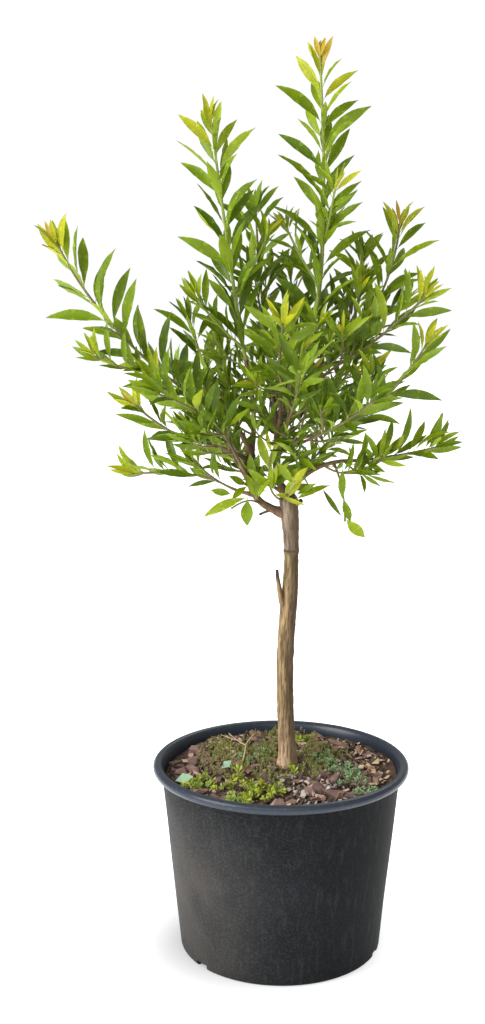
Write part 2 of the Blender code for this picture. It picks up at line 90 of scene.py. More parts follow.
# %% Camera
CAMERA_PLACE = (-0.0390, -1.4105, 0.7043)
CAMERA_LENS = 50.94
CAMERA_TILT = 0.177

camera_data = bpy.data.cameras.new("camera")
camera_data.lens = CAMERA_LENS
camera = bpy.data.objects.new("camera", camera_data)
camera.location = CAMERA_PLACE
camera.rotation_euler = (math.pi / 2 - CAMERA_TILT, 0, 0)
bpy.context.scene.collection.objects.link(camera)
bpy.context.scene.camera = camera
print("camera looks down by", round(math.degrees(CAMERA_TILT), 1), "degrees")

# %% [markdown]
# Everything below is a mesh with its place in its points, so that its object stays at the
# origin. A few short helpers do that work: the first ones make an object from points and faces,
# and `node` adds a node to a tree and wires its inputs in the same call, for shaders and for
# geometry. The ones after it are the nodes that come most often: a sum, a vector, a ramp from
# one value to another, and a blend of two colours.

# %% Helpers for meshes and nodes
def plain_mesh(name, vertices, edges=(), faces=()):
    mesh = bpy.data.meshes.new(name)
    mesh.from_pydata([tuple(vertex) for vertex in vertices], edges, faces)
    return mesh


def piece_of(name, mesh, finish=None):
    """An object of that mesh in the scene, in its finish where the mesh has none yet."""
    piece = bpy.data.objects.new(name, mesh)
    bpy.context.scene.collection.objects.link(piece)
    if finish:
        mesh.materials.append(finish)
    return piece


def triangles(piece):
    return sum(len(face.vertices) - 2 for face in piece.data.polygons)


def node(tree, kind, inputs=None, **settings):
    """Adds a node, sets it up, and fills its inputs with values or with other nodes' outputs."""
    made = tree.nodes.new(kind)
    made.location.x = 190 * len(tree.nodes)
    for name, value in settings.items():
        setattr(made, name, value)
    for key, value in (inputs or {}).items():
        if isinstance(value, bpy.types.NodeSocket):
            tree.links.new(value, made.inputs[key])
        else:
            made.inputs[key].default_value = value
    return made


def number_of(tree, operation, *values):
    """What a Math node makes of its values."""
    return node(tree, "ShaderNodeMath", dict(enumerate(values)), operation=operation).outputs[0]


def vector_of(tree, operation, *values):
    """What a Vector Math node makes of its values: a vector."""
    return node(tree, "ShaderNodeVectorMath", dict(enumerate(values)),
                operation=operation).outputs["Vector"]


def measure_of(tree, operation, *values):
    """What a Vector Math node makes of its values: a number, such as a length."""
    return node(tree, "ShaderNodeVectorMath", dict(enumerate(values)),
                operation=operation).outputs["Value"]


def vector(tree, x, y, z):
    return node(tree, "ShaderNodeCombineXYZ", {0: x, 1: y, 2: z}).outputs[0]


def ramp(tree, value, first, last, low=0.0, high=1.0, smooth=False):
    """Goes from low to high while the value goes from first to last."""
    return node(tree, "ShaderNodeMapRange",
                {"Value": value, "From Min": first, "From Max": last, "To Min": low,
                 "To Max": high},
                interpolation_type="SMOOTHSTEP" if smooth else "LINEAR").outputs[0]


def blend(tree, share, under, over):
    """A colour that goes from one to another as the share goes from 0 to 1."""
    return node(tree, "ShaderNodeMix", {0: share, 6: under, 7: over}, data_type="RGBA").outputs[2]


def linear(red, green, blue):
    """A colour given as it shows on a screen, from 0 to 255, as the light that a shader wants."""
    parts = [value / 255 for value in (red, green, blue)]
    return tuple(part / 12.92 if part < 0.04045 else ((part + 0.055) / 1.055) ** 2.4
                 for part in parts) + (1.0,)

# %% [markdown]
# Leaves, bark, plastic and stone all have two things in common: their colour drifts over a
# surface, and they are speckled at some finer scale. Each is a small shader node group with
# named inputs, built once. The groups put out only a colour or a mask. The Principled shader
# stays in each material.

# %% Shader group: colour drift
def new_shader_group(name, inputs, outputs):
    group = bpy.data.node_groups.new(name, "ShaderNodeTree")
    for label, kind, value in inputs:
        socket = group.interface.new_socket(label, in_out="INPUT", socket_type="NodeSocket" + kind)
        if value is not None:
            socket.default_value = value
    for label, kind in outputs:
        group.interface.new_socket(label, in_out="OUTPUT", socket_type="NodeSocket" + kind)
    return group, group.nodes.new("NodeGroupInput").outputs, group.nodes.new("NodeGroupOutput")


def make_drift_group():
    """Wanders between two colours over a distance of about 1 / Scale metres."""
    group, given, out = new_shader_group(
        "colour drift",
        [("Vector", "Vector", None), ("Colour A", "Color", (0.5, 0.5, 0.5, 1)),
         ("Colour B", "Color", (0.3, 0.3, 0.3, 1)), ("Scale", "Float", 30.0),
         ("Sharpness", "Float", 0.35)],
        [("Colour", "Color"), ("Mask", "Float")])
    cloud = node(group, "ShaderNodeTexNoise",
                 {"Vector": given["Vector"], "Scale": given["Scale"], "Detail": 4.0})
    low = number_of(group, "SUBTRACT", 0.5, given["Sharpness"])
    high = number_of(group, "SUBTRACT", 1.0, low)
    mask = ramp(group, cloud.outputs["Fac"], low, high, smooth=True)
    group.links.new(blend(group, mask, given["Colour A"], given["Colour B"]),
                    out.inputs["Colour"])
    group.links.new(mask, out.inputs["Mask"])
    return group

# %% Shader group: speckle
SPECKLE_EDGE = (0.72, 0.38)  # where the grains begin in the noise, for none and for all of them
SPECKLE_SOFTNESS = 0.12


def make_speckle_group():
    """Scattered grains: the share Amount of the surface gets the grain's colour."""
    group, given, out = new_shader_group(
        "speckle",
        [("Vector", "Vector", None), ("Base", "Color", (0.5, 0.5, 0.5, 1)),
         ("Grain", "Color", (0.8, 0.8, 0.8, 1)), ("Scale", "Float", 900.0),
         ("Amount", "Float", 0.3), ("Strength", "Float", 0.5)],
        [("Colour", "Color"), ("Height", "Float")])
    cloud = node(group, "ShaderNodeTexNoise",
                 {"Vector": given["Vector"], "Scale": given["Scale"], "Detail": 3.0,
                  "Roughness": 0.65}).outputs["Fac"]
    edge = ramp(group, given["Amount"], 0.0, 1.0, *SPECKLE_EDGE)
    mask = ramp(group, cloud, edge, number_of(group, "ADD", edge, SPECKLE_SOFTNESS), smooth=True)
    weight = number_of(group, "MULTIPLY", mask, given["Strength"])
    group.links.new(blend(group, weight, given["Base"], given["Grain"]), out.inputs["Colour"])
    group.links.new(cloud, out.inputs["Height"])
    return group


DRIFT = make_drift_group()
SPECKLE = make_speckle_group()
print("shader groups:", DRIFT.name, "and", SPECKLE.name)

# %% Helpers for materials
def new_material(name, roughness, **constants):
    """A material, its tree, its shader, and the object's own coordinates."""
    material = bpy.data.materials.new(name)
    material.use_nodes = True
    tree = material.node_tree
    shader = tree.nodes["Principled BSDF"]
    shader.inputs["Roughness"].default_value = roughness
    for label, value in constants.items():
        shader.inputs[label.replace("_", " ")].default_value = value
    place = node(tree, "ShaderNodeTexCoord").outputs["Object"]
    return material, tree, shader, place


def drifting(tree, place, colour_a, colour_b, scale, sharpness=0.35):
    return node(tree, "ShaderNodeGroup",
                {"Vector": place, "Colour A": colour_a, "Colour B": colour_b, "Scale": scale,
                 "Sharpness": sharpness}, node_tree=DRIFT).outputs


def speckled(tree, place, base, grain, scale, amount=0.3, strength=0.5):
    return node(tree, "ShaderNodeGroup",
                {"Vector": place, "Base": base, "Grain": grain, "Scale": scale,
                 "Amount": amount, "Strength": strength}, node_tree=SPECKLE).outputs


def stretched(tree, place, share):
    """The same coordinates with Z squeezed, which draws a pattern out upwards."""
    return node(tree, "ShaderNodeMapping",
                {"Vector": place, "Scale": (1.0, 1.0, share)}).outputs[0]


def bump(tree, shader, height, distance, strength=1.0):
    relief = node(tree, "ShaderNodeBump",
                  {"Height": height, "Distance": distance, "Strength": strength})
    tree.links.new(relief.outputs["Normal"], shader.inputs["Normal"])


def mottled(name, colour_a, colour_b, roughness, scale, grain_scale=900.0, relief=0.0002,
            grain_strength=0.4, **constants):
    """A matt natural stuff that drifts between two colours, with a fine relief."""
    material, tree, shader, place = new_material(name, roughness, **constants)
    colour_a, colour_b = linear(*colour_a), linear(*colour_b)
    drift = drifting(tree, place, colour_a, colour_b, scale)
    grain = speckled(tree, place, drift["Colour"], colour_b, grain_scale,
                     strength=grain_strength)
    tree.links.new(grain["Colour"], shader.inputs["Base Color"])
    bump(tree, shader, grain["Height"], relief)
    return material

# %% [markdown]
# The floor is pale, with a painted shadow round the pot's foot, and farther off it glows so
# that it merges with the sky. The light is soft, as in a product photograph on white.
# A bright world fills the shadows. One large lamp in front on the left gives the leaves their
# shine and the pot its lighter left side, and two weaker ones, in front and behind, lift the
# rest. The world is made whiter for the camera alone, so that the background is clean.

# %% Floor and light
FLOOR_HALF = 8.0
GLOW_CENTRE = (-0.040, 0.0, 0.0)
GLOW_REACH = (0.01, 0.22)
PAINTED_SHADOW_REACH = (0.09, 0.22)
FLOOR_GREYS = ((0.93, 0.93, 0.93, 1), (0.90, 0.90, 0.90, 1))
FLOOR_PAINTED_SHADOW = (0.60, 0.60, 0.60, 1)


def make_floor_material():
    """A painted shadow close to the pot, and lit from within farther off, where it merges with the
    sky.
    """
    material, tree, shader, place = new_material("pale floor", 0.9, Emission_Strength=1.0)
    off = vector_of(tree, "SUBTRACT", place, GLOW_CENTRE)
    glow, clear = [ramp(tree, measure_of(tree, "LENGTH", spot), *reach, smooth=True)
                   for spot, reach in ((off, GLOW_REACH), (place, PAINTED_SHADOW_REACH))]
    tree.links.new(glow, shader.inputs["Emission Color"])
    paint = drifting(tree, place, *FLOOR_GREYS, 3.0)
    # Painted shadow: the floor is a darker grey close to the pot.
    tree.links.new(blend(tree, clear, FLOOR_PAINTED_SHADOW, paint["Colour"]), shader.inputs["Base Color"])
    material.cycles.emission_sampling = "NONE"
    return material


corners = [(x * FLOOR_HALF, y * FLOOR_HALF, 0) for x, y in ((-1, -1), (1, -1), (1, 1), (-1, 1))]
floor = piece_of("floor", plain_mesh("floor", corners, faces=[(0, 1, 2, 3)]),
                 make_floor_material())

LAMPS = (  # name, place, size in metres, watts
    ("key lamp", (-2.4, -1.2, 1.9), 2.2, 104.0),
    ("front lamp", (-0.2, -2.6, 2.2), 2.4, 25.0),
    ("back lamp", (0.8, 1.9, 2.4), 1.6, 16.0),
)
LIT_PLACE = Vector((0.0, 0.0, 0.45))
for name, place, size, power in LAMPS:
    light = bpy.data.lights.new(name, "AREA")
    light.shape = "DISK"
    light.size = size
    light.energy = power
    lamp = bpy.data.objects.new(name, light)
    lamp.location = place
    lamp.rotation_euler = (LIT_PLACE - lamp.location).to_track_quat("-Z", "Y").to_euler()
    bpy.context.scene.collection.objects.link(lamp)

WORLD_LIGHT = 0.36
WORLD_SEEN = 1.05
SKY_COLOUR = (0.97, 0.985, 1.0, 1)
world = bpy.data.worlds.new("white studio")
world.use_nodes = True
bpy.context.scene.world = world
sky = world.node_tree.nodes["Background"]
sky.inputs["Color"].default_value = SKY_COLOUR
seen = node(world.node_tree, "ShaderNodeLightPath").outputs["Is Camera Ray"]
strength = ramp(world.node_tree, seen, 0.0, 1.0, WORLD_LIGHT, WORLD_SEEN)
world.node_tree.links.new(strength, sky.inputs["Strength"])
bpy.context.scene.view_settings.view_transform = "Standard"
print("lamps:", len(LAMPS))

# %% [markdown]
# The pot is blow-moulded plastic, about 2 mm thick: a wall that widens upwards, a rolled rim
# and a rounded foot. A profile turned round Z makes such a shape, and a fine profile keeps its
# outline round in a close view. The slots in the foot are cut by a Boolean with blocks, before
# the smooth shading is set.

# %% Pot: sizes and profile
POT_HEIGHT = 0.1956
POT_BASE_RADIUS = 0.1024
POT_TOP_RADIUS = 0.1222
POT_WALL = 0.0022
POT_FLOOR = 0.0030
POT_CORNER = 0.0040
RIM_OUTER_RADIUS = 0.1300
RIM_TUBE_RADIUS = 0.0048
RIM_HEIGHT = POT_HEIGHT - RIM_TUBE_RADIUS
WALL_SLOPE = (POT_TOP_RADIUS - POT_BASE_RADIUS) / POT_HEIGHT
POT_SEGMENTS = 168
POT_WALL_ROWS = 26
CORNER_ARC = (-90, -6, 6)  # from and to in degrees, and the steps between
RIM_ARC = (-100, 150, 18)


def wall_radius(height):
    return POT_BASE_RADIUS + WALL_SLOPE * height


def arc(centre, radius, start, end, steps):
    """Points of an arc in the profile's plane; angles in degrees, 0 pointing outwards."""
    points = []
    for step in range(steps + 1):
        angle = math.radians(start + (end - start) * step / steps)
        points.append((centre[0] + radius * math.cos(angle), centre[1] + radius * math.sin(angle)))
    return points


def pot_profile():
    corner = (wall_radius(POT_CORNER) - POT_CORNER, POT_CORNER)
    profile = [(0, 0), (corner[0] * 0.5, 0)]
    profile += arc(corner, POT_CORNER, *CORNER_ARC)
    wall_top = RIM_HEIGHT - RIM_TUBE_RADIUS
    for row in range(1, POT_WALL_ROWS + 1):
        height = POT_CORNER + (wall_top - POT_CORNER) * row / POT_WALL_ROWS
        profile.append((wall_radius(height), height))
    profile += arc((RIM_OUTER_RADIUS - RIM_TUBE_RADIUS, RIM_HEIGHT), RIM_TUBE_RADIUS, *RIM_ARC)
    for row in range(POT_WALL_ROWS + 1):
        height = RIM_HEIGHT + (POT_CORNER * 2 - RIM_HEIGHT) * row / POT_WALL_ROWS
        profile.append((wall_radius(height) - POT_WALL, height))
    profile.append((wall_radius(POT_FLOOR) - POT_WALL - POT_CORNER, POT_FLOOR))
    profile.append((0, POT_FLOOR))
    return profile


def turned(profile, segments):
    """A profile turned round Z. Both its ends lie on the axis, so the shape is closed."""
    vertices = [Vector((0, 0, profile[0][1]))]
    for radius, height in profile[1:-1]:
        for step in range(segments):
            angle = 2 * math.pi * step / segments
            vertices.append(Vector((radius * math.cos(angle), radius * math.sin(angle), height)))
    vertices.append(Vector((0, 0, profile[-1][1])))
    rings = len(profile) - 2
    faces = []
    for step in range(segments):
        after = (step + 1) % segments
        faces.append((0, 1 + after, 1 + step))
        for ring in range(rings - 1):
            low = 1 + ring * segments
            high = low + segments
            faces.append((low + step, low + after, high + after, high + step))
        top = 1 + (rings - 1) * segments
        faces.append((top + step, top + after, len(vertices) - 1))
    return vertices, faces


vertices, faces = turned(pot_profile(), POT_SEGMENTS)
pot = piece_of("nursery_pot", plain_mesh("nursery_pot", vertices, faces=faces))
print("pot wall:", len(pot.data.polygons), "faces")

# %% [markdown]
# A real pot isn't quite round: it bulges a little where roots have pushed it, and its mould
# left a fine seam across the rim. Both are moved into the points before the slots are cut.

# %% Pot: soft dents, the mould seam and the drain slots
DENT_DEPTH = 0.0007
DENT_SCALE = 11.0
DENT_FADE = 0.05
RIM_STIFF = 0.01
SEAM_ANGLE = math.radians(-91.8)
SEAM_WIDTH = 0.008
SEAM_DEPTH = 0.0005
SEAM_FROM = RIM_HEIGHT - RIM_TUBE_RADIUS * 1.2
DENTS_FROM = POT_BASE_RADIUS * 0.9
POT_SHARP = math.radians(45)
DRAIN_SLOTS = 3
DRAIN_WIDTH = 0.016
DRAIN_HEIGHT = 0.006
DRAIN_DEPTH = 0.007
DRAIN_FIRST_ANGLE = math.radians(219)
SQUARE = ((-1, -1), (1, -1), (1, 1), (-1, 1))


def outwards(angle):
    return Vector((math.cos(angle), math.sin(angle), 0))


for vertex in pot.data.vertices:
    radius = math.hypot(vertex.co.x, vertex.co.y)
    if radius < DENTS_FROM:
        continue
    outward = Vector((vertex.co.x, vertex.co.y, 0)) / radius
    stiff = max(0.0, (RIM_HEIGHT - RIM_STIFF - vertex.co.z) / DENT_FADE)
    held = min(1.0, vertex.co.z / DENT_FADE, stiff)
    vertex.co += outward * DENT_DEPTH * held * noise.noise(vertex.co * DENT_SCALE)
    angle = math.atan2(vertex.co.y, vertex.co.x)
    if vertex.co.z > SEAM_FROM:
        near = math.exp(-((angle - SEAM_ANGLE) / SEAM_WIDTH) ** 2)
        vertex.co -= outward * SEAM_DEPTH * near

cutters = bpy.data.collections.new("drain cutters")
bpy.context.scene.collection.children.link(cutters)
for number in range(DRAIN_SLOTS):
    angle = DRAIN_FIRST_ANGLE + 2 * math.pi * number / DRAIN_SLOTS
    outward = outwards(angle)
    across = Vector((-outward.y, outward.x, 0))
    corners = []
    for height in (-DRAIN_HEIGHT, DRAIN_HEIGHT):
        for reach, side in SQUARE:
            place = outward * (POT_BASE_RADIUS + reach * DRAIN_DEPTH)
            corners.append(place + across * side * DRAIN_WIDTH / 2 + Vector((0, 0, height)))
    sides = [(side, (side + 1) % 4, (side + 1) % 4 + 4, side + 4) for side in range(4)]
    block = plain_mesh("drain cutter", corners, faces=[(3, 2, 1, 0), (4, 5, 6, 7), *sides])
    cutters.objects.link(bpy.data.objects.new("drain cutter", block))

cut = pot.modifiers.new("drain slots", "BOOLEAN")
cut.operand_type = "COLLECTION"
cut.collection = cutters
cut.operation = "DIFFERENCE"
cut.solver = "EXACT"


def keep_evaluated(piece):
    """Replaces a piece's mesh by what its modifiers make of it, and removes the modifiers."""
    evaluated = piece.evaluated_get(bpy.context.evaluated_depsgraph_get())
    mesh = bpy.data.meshes.new_from_object(evaluated)
    piece.modifiers.clear()
    before = piece.data
    piece.data = mesh
    bpy.data.meshes.remove(before)
    mesh.name = piece.name


keep_evaluated(pot)
for cutter in list(cutters.objects):
    bpy.data.objects.remove(cutter, do_unlink=True)
bpy.data.collections.remove(cutters)
pot.data.shade_smooth()
pot.data.set_sharp_from_angle(angle=POT_SHARP)
print("pot with its slots:", triangles(pot), "triangles")

# %% [markdown]
# The plastic is charcoal and matt, with pale dust low on the left side, where it stood to the
# weather; the same pale mask, which reaches to the middle, also paints the light that falls on
# the left. Painted shade darkens the wall towards the right and just under the rim. Under the
# dust it has faint upright streaks from handling. A noise that is squeezed round the pot and
# stretched upwards gives those, and a fine speckle gives the plastic's grain, with more pale
# grains towards the left.
# The rim is smoother and glossier, and its bluer, paler colour with pale specks is scuffs and a
# painted sheen: the height picks it out. The inner wall is a paler blue, a painted sheen: how far
# a place lies within the wall's outer line picks that out.

# %% Pot: material
DUST_AND_LIGHT_ACROSS = (-0.110, 0.010, 0.88, 0.0)  # from and to in metres, and how much at each
DUST_AND_LIGHT_UP = (0.085, RIM_HEIGHT - 0.020, 1.0, 0.45)
PAINTED_SHADE_ACROSS = (-0.02, 0.09, 0.0, 0.95)
SHADED_UP = (RIM_HEIGHT - 0.045, RIM_HEIGHT - 0.008, 0.0, 0.68)
GRAIN_ACROSS = (-0.10, 0.09, 0.060, 0.012)
RIM_UP = (RIM_HEIGHT - RIM_TUBE_RADIUS * 1.5, RIM_HEIGHT - RIM_TUBE_RADIUS)
INSIDE_DEPTH = (0.0011, 0.0017)
CLEAN = (linear(15, 19, 22), linear(28, 31, 34), 16.0, 0.30)  # colours, scale, sharpness
DUST_AND_LIGHT_COLOURS = (linear(82, 77, 72), linear(53, 51, 50), 24.0, 0.25)
DUST_AND_LIGHT_RAGGED = (0.35, 0.75)
STREAKS = (linear(90, 91, 93), 220.0, 0.55, 0.07)  # colour, scale, amount, strength
STREAK_STRETCH = 0.14
GRAINS = (linear(144, 148, 149), 480.0, 0.70)
SCUFFS_AND_SHEEN = (linear(92, 98, 106), 260.0, 0.45, 0.30)
RIM_ROUGHNESS = (0.62, 0.36)  # off the rim and on it
RIM_COAT = 0.45


def make_pot_material():
    material, tree, shader, place = new_material("charcoal plastic", 0.55, Coat_Roughness=0.28,
                                                 Specular_IOR_Level=0.11)
    x, y, z = node(tree, "ShaderNodeSeparateXYZ", {0: place}).outputs
    clean = drifting(tree, place, *CLEAN)
    # Pale dust low on the left, which is also painted light on the left side towards the middle.
    dust_and_light = drifting(tree, place, *DUST_AND_LIGHT_COLOURS)
    left = ramp(tree, x, *DUST_AND_LIGHT_ACROSS, smooth=True)
    low = ramp(tree, z, *DUST_AND_LIGHT_UP, smooth=True)
    ragged = number_of(tree, "MULTIPLY_ADD", dust_and_light["Mask"], *DUST_AND_LIGHT_RAGGED)
    dusty_and_lit = number_of(tree, "MULTIPLY", number_of(tree, "MULTIPLY", left, low), ragged)
    # Painted shade: the wall darkens towards the right, away from the key lamp.
    right = ramp(tree, x, *PAINTED_SHADE_ACROSS, smooth=True)
    wall = blend(tree, right, clean["Colour"], linear(5, 7, 9))
    wall = blend(tree, dusty_and_lit, wall, dust_and_light["Colour"])
    # Painted shade: the wall darkens just under the rim, where the rim's shadow falls.
    painted_shade_under_rim = ramp(tree, z, *SHADED_UP, smooth=True)
    wall = blend(tree, painted_shade_under_rim, wall, linear(10, 11, 13))
    streaked = speckled(tree, stretched(tree, place, STREAK_STRETCH), wall, *STREAKS)
    # More pale grains towards the left.
    grain_amount = ramp(tree, x, *GRAIN_ACROSS)
    grained = speckled(tree, place, streaked["Colour"], *GRAINS, grain_amount)
    rim = ramp(tree, z, *RIM_UP)
    # The rim's bluer, paler colour with pale specks: scuffs and a painted sheen.
    rim_sheen_specks = speckled(tree, place, linear(47, 54, 64), *SCUFFS_AND_SHEEN)
    rim_with_sheen = blend(tree, rim, grained["Colour"], rim_sheen_specks["Colour"])
    # The inner wall's paler blue is a painted sheen.
    away = measure_of(tree, "LENGTH", vector(tree, x, y, 0.0))
    wall_line = number_of(tree, "MULTIPLY_ADD", z, WALL_SLOPE, POT_BASE_RADIUS)
    inside = ramp(tree, number_of(tree, "SUBTRACT", wall_line, away), *INSIDE_DEPTH)
    tree.links.new(blend(tree, inside, rim_with_sheen, linear(44, 50, 62)), shader.inputs["Base Color"])
    tree.links.new(ramp(tree, rim, 0.0, 1.0, *RIM_ROUGHNESS), shader.inputs["Roughness"])
    tree.links.new(number_of(tree, "MULTIPLY", rim, RIM_COAT), shader.inputs["Coat Weight"])
    bump(tree, shader, grained["Height"], 0.0003, 0.8)
    return material


pot.data.materials.clear()
pot.data.materials.append(make_pot_material())
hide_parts("pot")
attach(pot, BODY)
print("pot is finished")

# %% [markdown]
# The soil is a block that fills the pot, heaped a little round the trunk and lower along the
# wall. Its top is a grid of rings whose heights follow a cosine and a noise. One function gives
# the height at any place, because everything that lies or grows on the soil asks for it.

# %% Soil: height and mesh
GAP = 0.0003
SOIL_TOP = 0.1860
SOIL_EDGE = 0.1796
SOIL_FLAT_RADIUS = 0.026
SOIL_RINGS = 46
SOIL_SEGMENTS = 144
SOIL_RELIEF = ((0.0026, 42, 0.3), (0.0012, 190, 1.7))  # height, scale, layer of the noise
SOIL_BACK_RISE = 0.0050
SOIL_RISE_FROM = 0.02
SOIL_RISE_OVER = 0.06
SOIL_RISE_RIGHT = 0.5
SOIL_RISE_FADE = 0.5
SOIL_RINGS_REACH = 0.992
SOIL_SHARP = math.radians(50)
soil_edge_radius = wall_radius(SOIL_EDGE) - POT_WALL - GAP


def soil_height(x, y):
    radius = math.hypot(x, y)
    share = min(1.0, max(0.0, (soil_edge_radius - radius) / (soil_edge_radius - SOIL_FLAT_RADIUS)))
    height = SOIL_EDGE + (SOIL_TOP - SOIL_EDGE) * (1 - math.cos(math.pi * share)) / 2
    back = y + SOIL_RISE_RIGHT * max(0.0, x) - SOIL_RISE_FROM
    behind = min(1.0, max(0.0, back / SOIL_RISE_OVER))
    height += SOIL_BACK_RISE * behind * (1 - share * SOIL_RISE_FADE)
    for rise, scale, layer in SOIL_RELIEF:
        height += rise * noise.noise(Vector((x, y, layer)) * scale)
    return height


def soil_shape():
    bottom = POT_FLOOR + GAP
    foot = wall_radius(POT_CORNER * 2) - POT_WALL - GAP
    profile = [(0, bottom), (foot - POT_CORNER, bottom), (foot, POT_CORNER * 2)]
    for ring in range(SOIL_RINGS + 1):
        profile.append((soil_edge_radius * (1 - SOIL_RINGS_REACH * ring / SOIL_RINGS), SOIL_EDGE))
    profile.append((0, SOIL_EDGE))
    vertices, faces = turned(profile, SOIL_SEGMENTS)
    for vertex in vertices[1 + 2 * SOIL_SEGMENTS:]:
        vertex.z = soil_height(vertex.x, vertex.y)
    return vertices, faces


vertices, faces = soil_shape()
soil = piece_of("potting_soil", plain_mesh("potting_soil", vertices, faces=faces),
                mottled("potting soil", (62, 45, 36), (104, 80, 62), 0.95, 120.0, 700.0, 0.0009))
soil.data.shade_smooth()
soil.data.set_sharp_from_angle(angle=SOIL_SHARP)
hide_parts("soil")
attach(soil, BODY)
print("soil:", triangles(soil), "triangles")

# %% [markdown]
# What lies on the soil repeats: chips of bark and lava, pebbles, moss and small weeds. Geometry
# Nodes scatter such things well. The tree below takes a surface, deals points over it where an
# attribute allows them, puts one of a few shapes on each with its own turn and size, and ends
# by realizing the copies, because only real meshes are kept.

# %% Scatter tree
def new_tree(name, inputs):
    """An empty Geometry Nodes tree with named inputs, its input sockets and its output node."""
    tree = bpy.data.node_groups.new(name, "GeometryNodeTree")
    tree.interface.new_socket("Geometry", in_out="INPUT", socket_type="NodeSocketGeometry")
    for label, kind in inputs.items():
        tree.interface.new_socket(label, in_out="INPUT", socket_type="NodeSocket" + kind)
    tree.interface.new_socket("Geometry", in_out="OUTPUT", socket_type="NodeSocketGeometry")
    return tree, tree.nodes.new("NodeGroupInput").outputs, tree.nodes.new("NodeGroupOutput")


def read(tree, name, kind="FLOAT"):
    """A named attribute's value."""
    return node(tree, "GeometryNodeInputNamedAttribute", {"Name": name}, data_type=kind).outputs[0]


def shapes_in(tree, collection):
    return node(tree, "GeometryNodeCollectionInfo",
                {"Collection": collection, "Separate Children": True,
                 "Reset Children": True}).outputs[0]


def end_tree(tree, out, geometry, *finishes):
    """Realizes the copies, gives each finish to the faces it is for, and sends all of it out."""
    geometry = node(tree, "GeometryNodeRealizeInstances", {0: geometry}).outputs[0]
    for chosen, finish in finishes:
        geometry = node(tree, "GeometryNodeSetMaterial",
                        {"Geometry": geometry, "Selection": chosen,
                         "Material": finish}).outputs[0]
    tree.links.new(geometry, out.inputs[0])
    return tree


def make_scatter_tree():
    tree, given, out = new_tree("scatter", {
        "Where": "String", "Shapes": "Collection", "Apart": "Float", "Density": "Float",
        "Smallest": "Float", "Largest": "Float", "Tilt": "Float", "Lift": "Float",
        "Seed": "Int", "Finish": "Material"})
    points = node(tree, "GeometryNodeDistributePointsOnFaces",
                  {"Mesh": given["Geometry"], "Distance Min": given["Apart"],
                   "Density Max": given["Density"], "Density Factor": read(tree, given["Where"]),
                   "Seed": given["Seed"]}, distribute_method="POISSON")
    raised = node(tree, "GeometryNodeSetPosition",
                  {"Geometry": points.outputs["Points"],
                   "Offset": vector(tree, 0.0, 0.0, given["Lift"])})
    size = node(tree, "FunctionNodeRandomValue",
                {2: given["Smallest"], 3: given["Largest"], "Seed": given["Seed"]},
                data_type="FLOAT")
    tilt = given["Tilt"]
    back = number_of(tree, "MULTIPLY", tilt, -1.0)
    turn = node(tree, "FunctionNodeRandomValue",
                {0: vector(tree, back, back, -math.pi), 1: vector(tree, tilt, tilt, math.pi),
                 "Seed": given["Seed"]}, data_type="FLOAT_VECTOR")
    copies = node(tree, "GeometryNodeInstanceOnPoints",
                  {"Points": raised.outputs[0], "Instance": shapes_in(tree, given["Shapes"]),
                   "Pick Instance": True, "Rotation": turn.outputs[0],
                   "Scale": size.outputs[1]})
    return end_tree(tree, out, copies.outputs[0], (True, given["Finish"]))


def run_tree(name, mesh, tree, values):
    """Runs a tree on a copy of a mesh and gives the result as a piece with a plain mesh."""
    piece = piece_of(name, mesh.copy())
    modifier = piece.modifiers.new(name, "NODES")
    modifier.node_group = tree
    for item in tree.interface.items_tree:
        if item.in_out == "INPUT" and item.name in values:
            modifier[item.identifier] = values[item.name]
    keep_evaluated(piece)
    return piece


SCATTER = make_scatter_tree()
print("scatter tree:", len(SCATTER.nodes), "nodes")

# %% [markdown]
# The shapes that get scattered are kept in collections outside the scene. A chip is a handful
# of random points near the sides of a box that a convex hull closes, with flat faces and sharp
# edges as broken bark and lava have. A pebble is an icosphere pushed about by noise.

# %% Shapes: chips and pebbles
SHAPE_SEED = 5
CHIP_CORNERS_OUT = (0.75, 1.0)
PEBBLE_LUMPS = 0.45
PEBBLE_LUMP_SCALE = 1.6
PEBBLE_HEIGHT = 0.7
PEBBLE_SHARP = 60


def shape_collection(name, meshes):
    """Keeps shapes in a collection that no scene shows, for a tree to pick from in order."""
    group = bpy.data.collections.new(name)
    for number, mesh in enumerate(meshes):
        mesh.name = f"{name} {number:02d}"
        group.objects.link(bpy.data.objects.new(mesh.name, mesh))
    return group


def mesh_from(shape, name, smooth_angle=None):
    mesh = bpy.data.meshes.new(name)
    bmesh.ops.recalc_face_normals(shape, faces=shape.faces)
    shape.to_mesh(mesh)
    shape.free()
    if smooth_angle is not None:
        mesh.shade_smooth()
        mesh.set_sharp_from_angle(angle=math.radians(smooth_angle))
    return mesh


def chip_mesh(chance, proportions, corners=10):
    """An angular chip one unit long."""
    shape = bmesh.new()
    for _ in range(corners):
        spot = Vector([chance.uniform(-1, 1) for _ in range(3)])
        spot *= chance.uniform(*CHIP_CORNERS_OUT) / max(abs(part) for part in spot)
        shape.verts.new([spot[axis] * proportions[axis] / 2 for axis in range(3)])
    hull = bmesh.ops.convex_hull(shape, input=shape.verts)
    bmesh.ops.delete(shape, geom=hull["geom_interior"], context="VERTS")
    return mesh_from(shape, "chip")


def pebble_mesh(chance):
    shape = bmesh.new()
    bmesh.ops.create_icosphere(shape, subdivisions=1, radius=0.5)
    drift = Vector([chance.uniform(0, 50) for _ in range(3)])
    for vertex in shape.verts:
        vertex.co *= 1 + PEBBLE_LUMPS * noise.noise(vertex.co * PEBBLE_LUMP_SCALE + drift)
        vertex.co.z *= PEBBLE_HEIGHT
    return mesh_from(shape, "pebble", PEBBLE_SHARP)


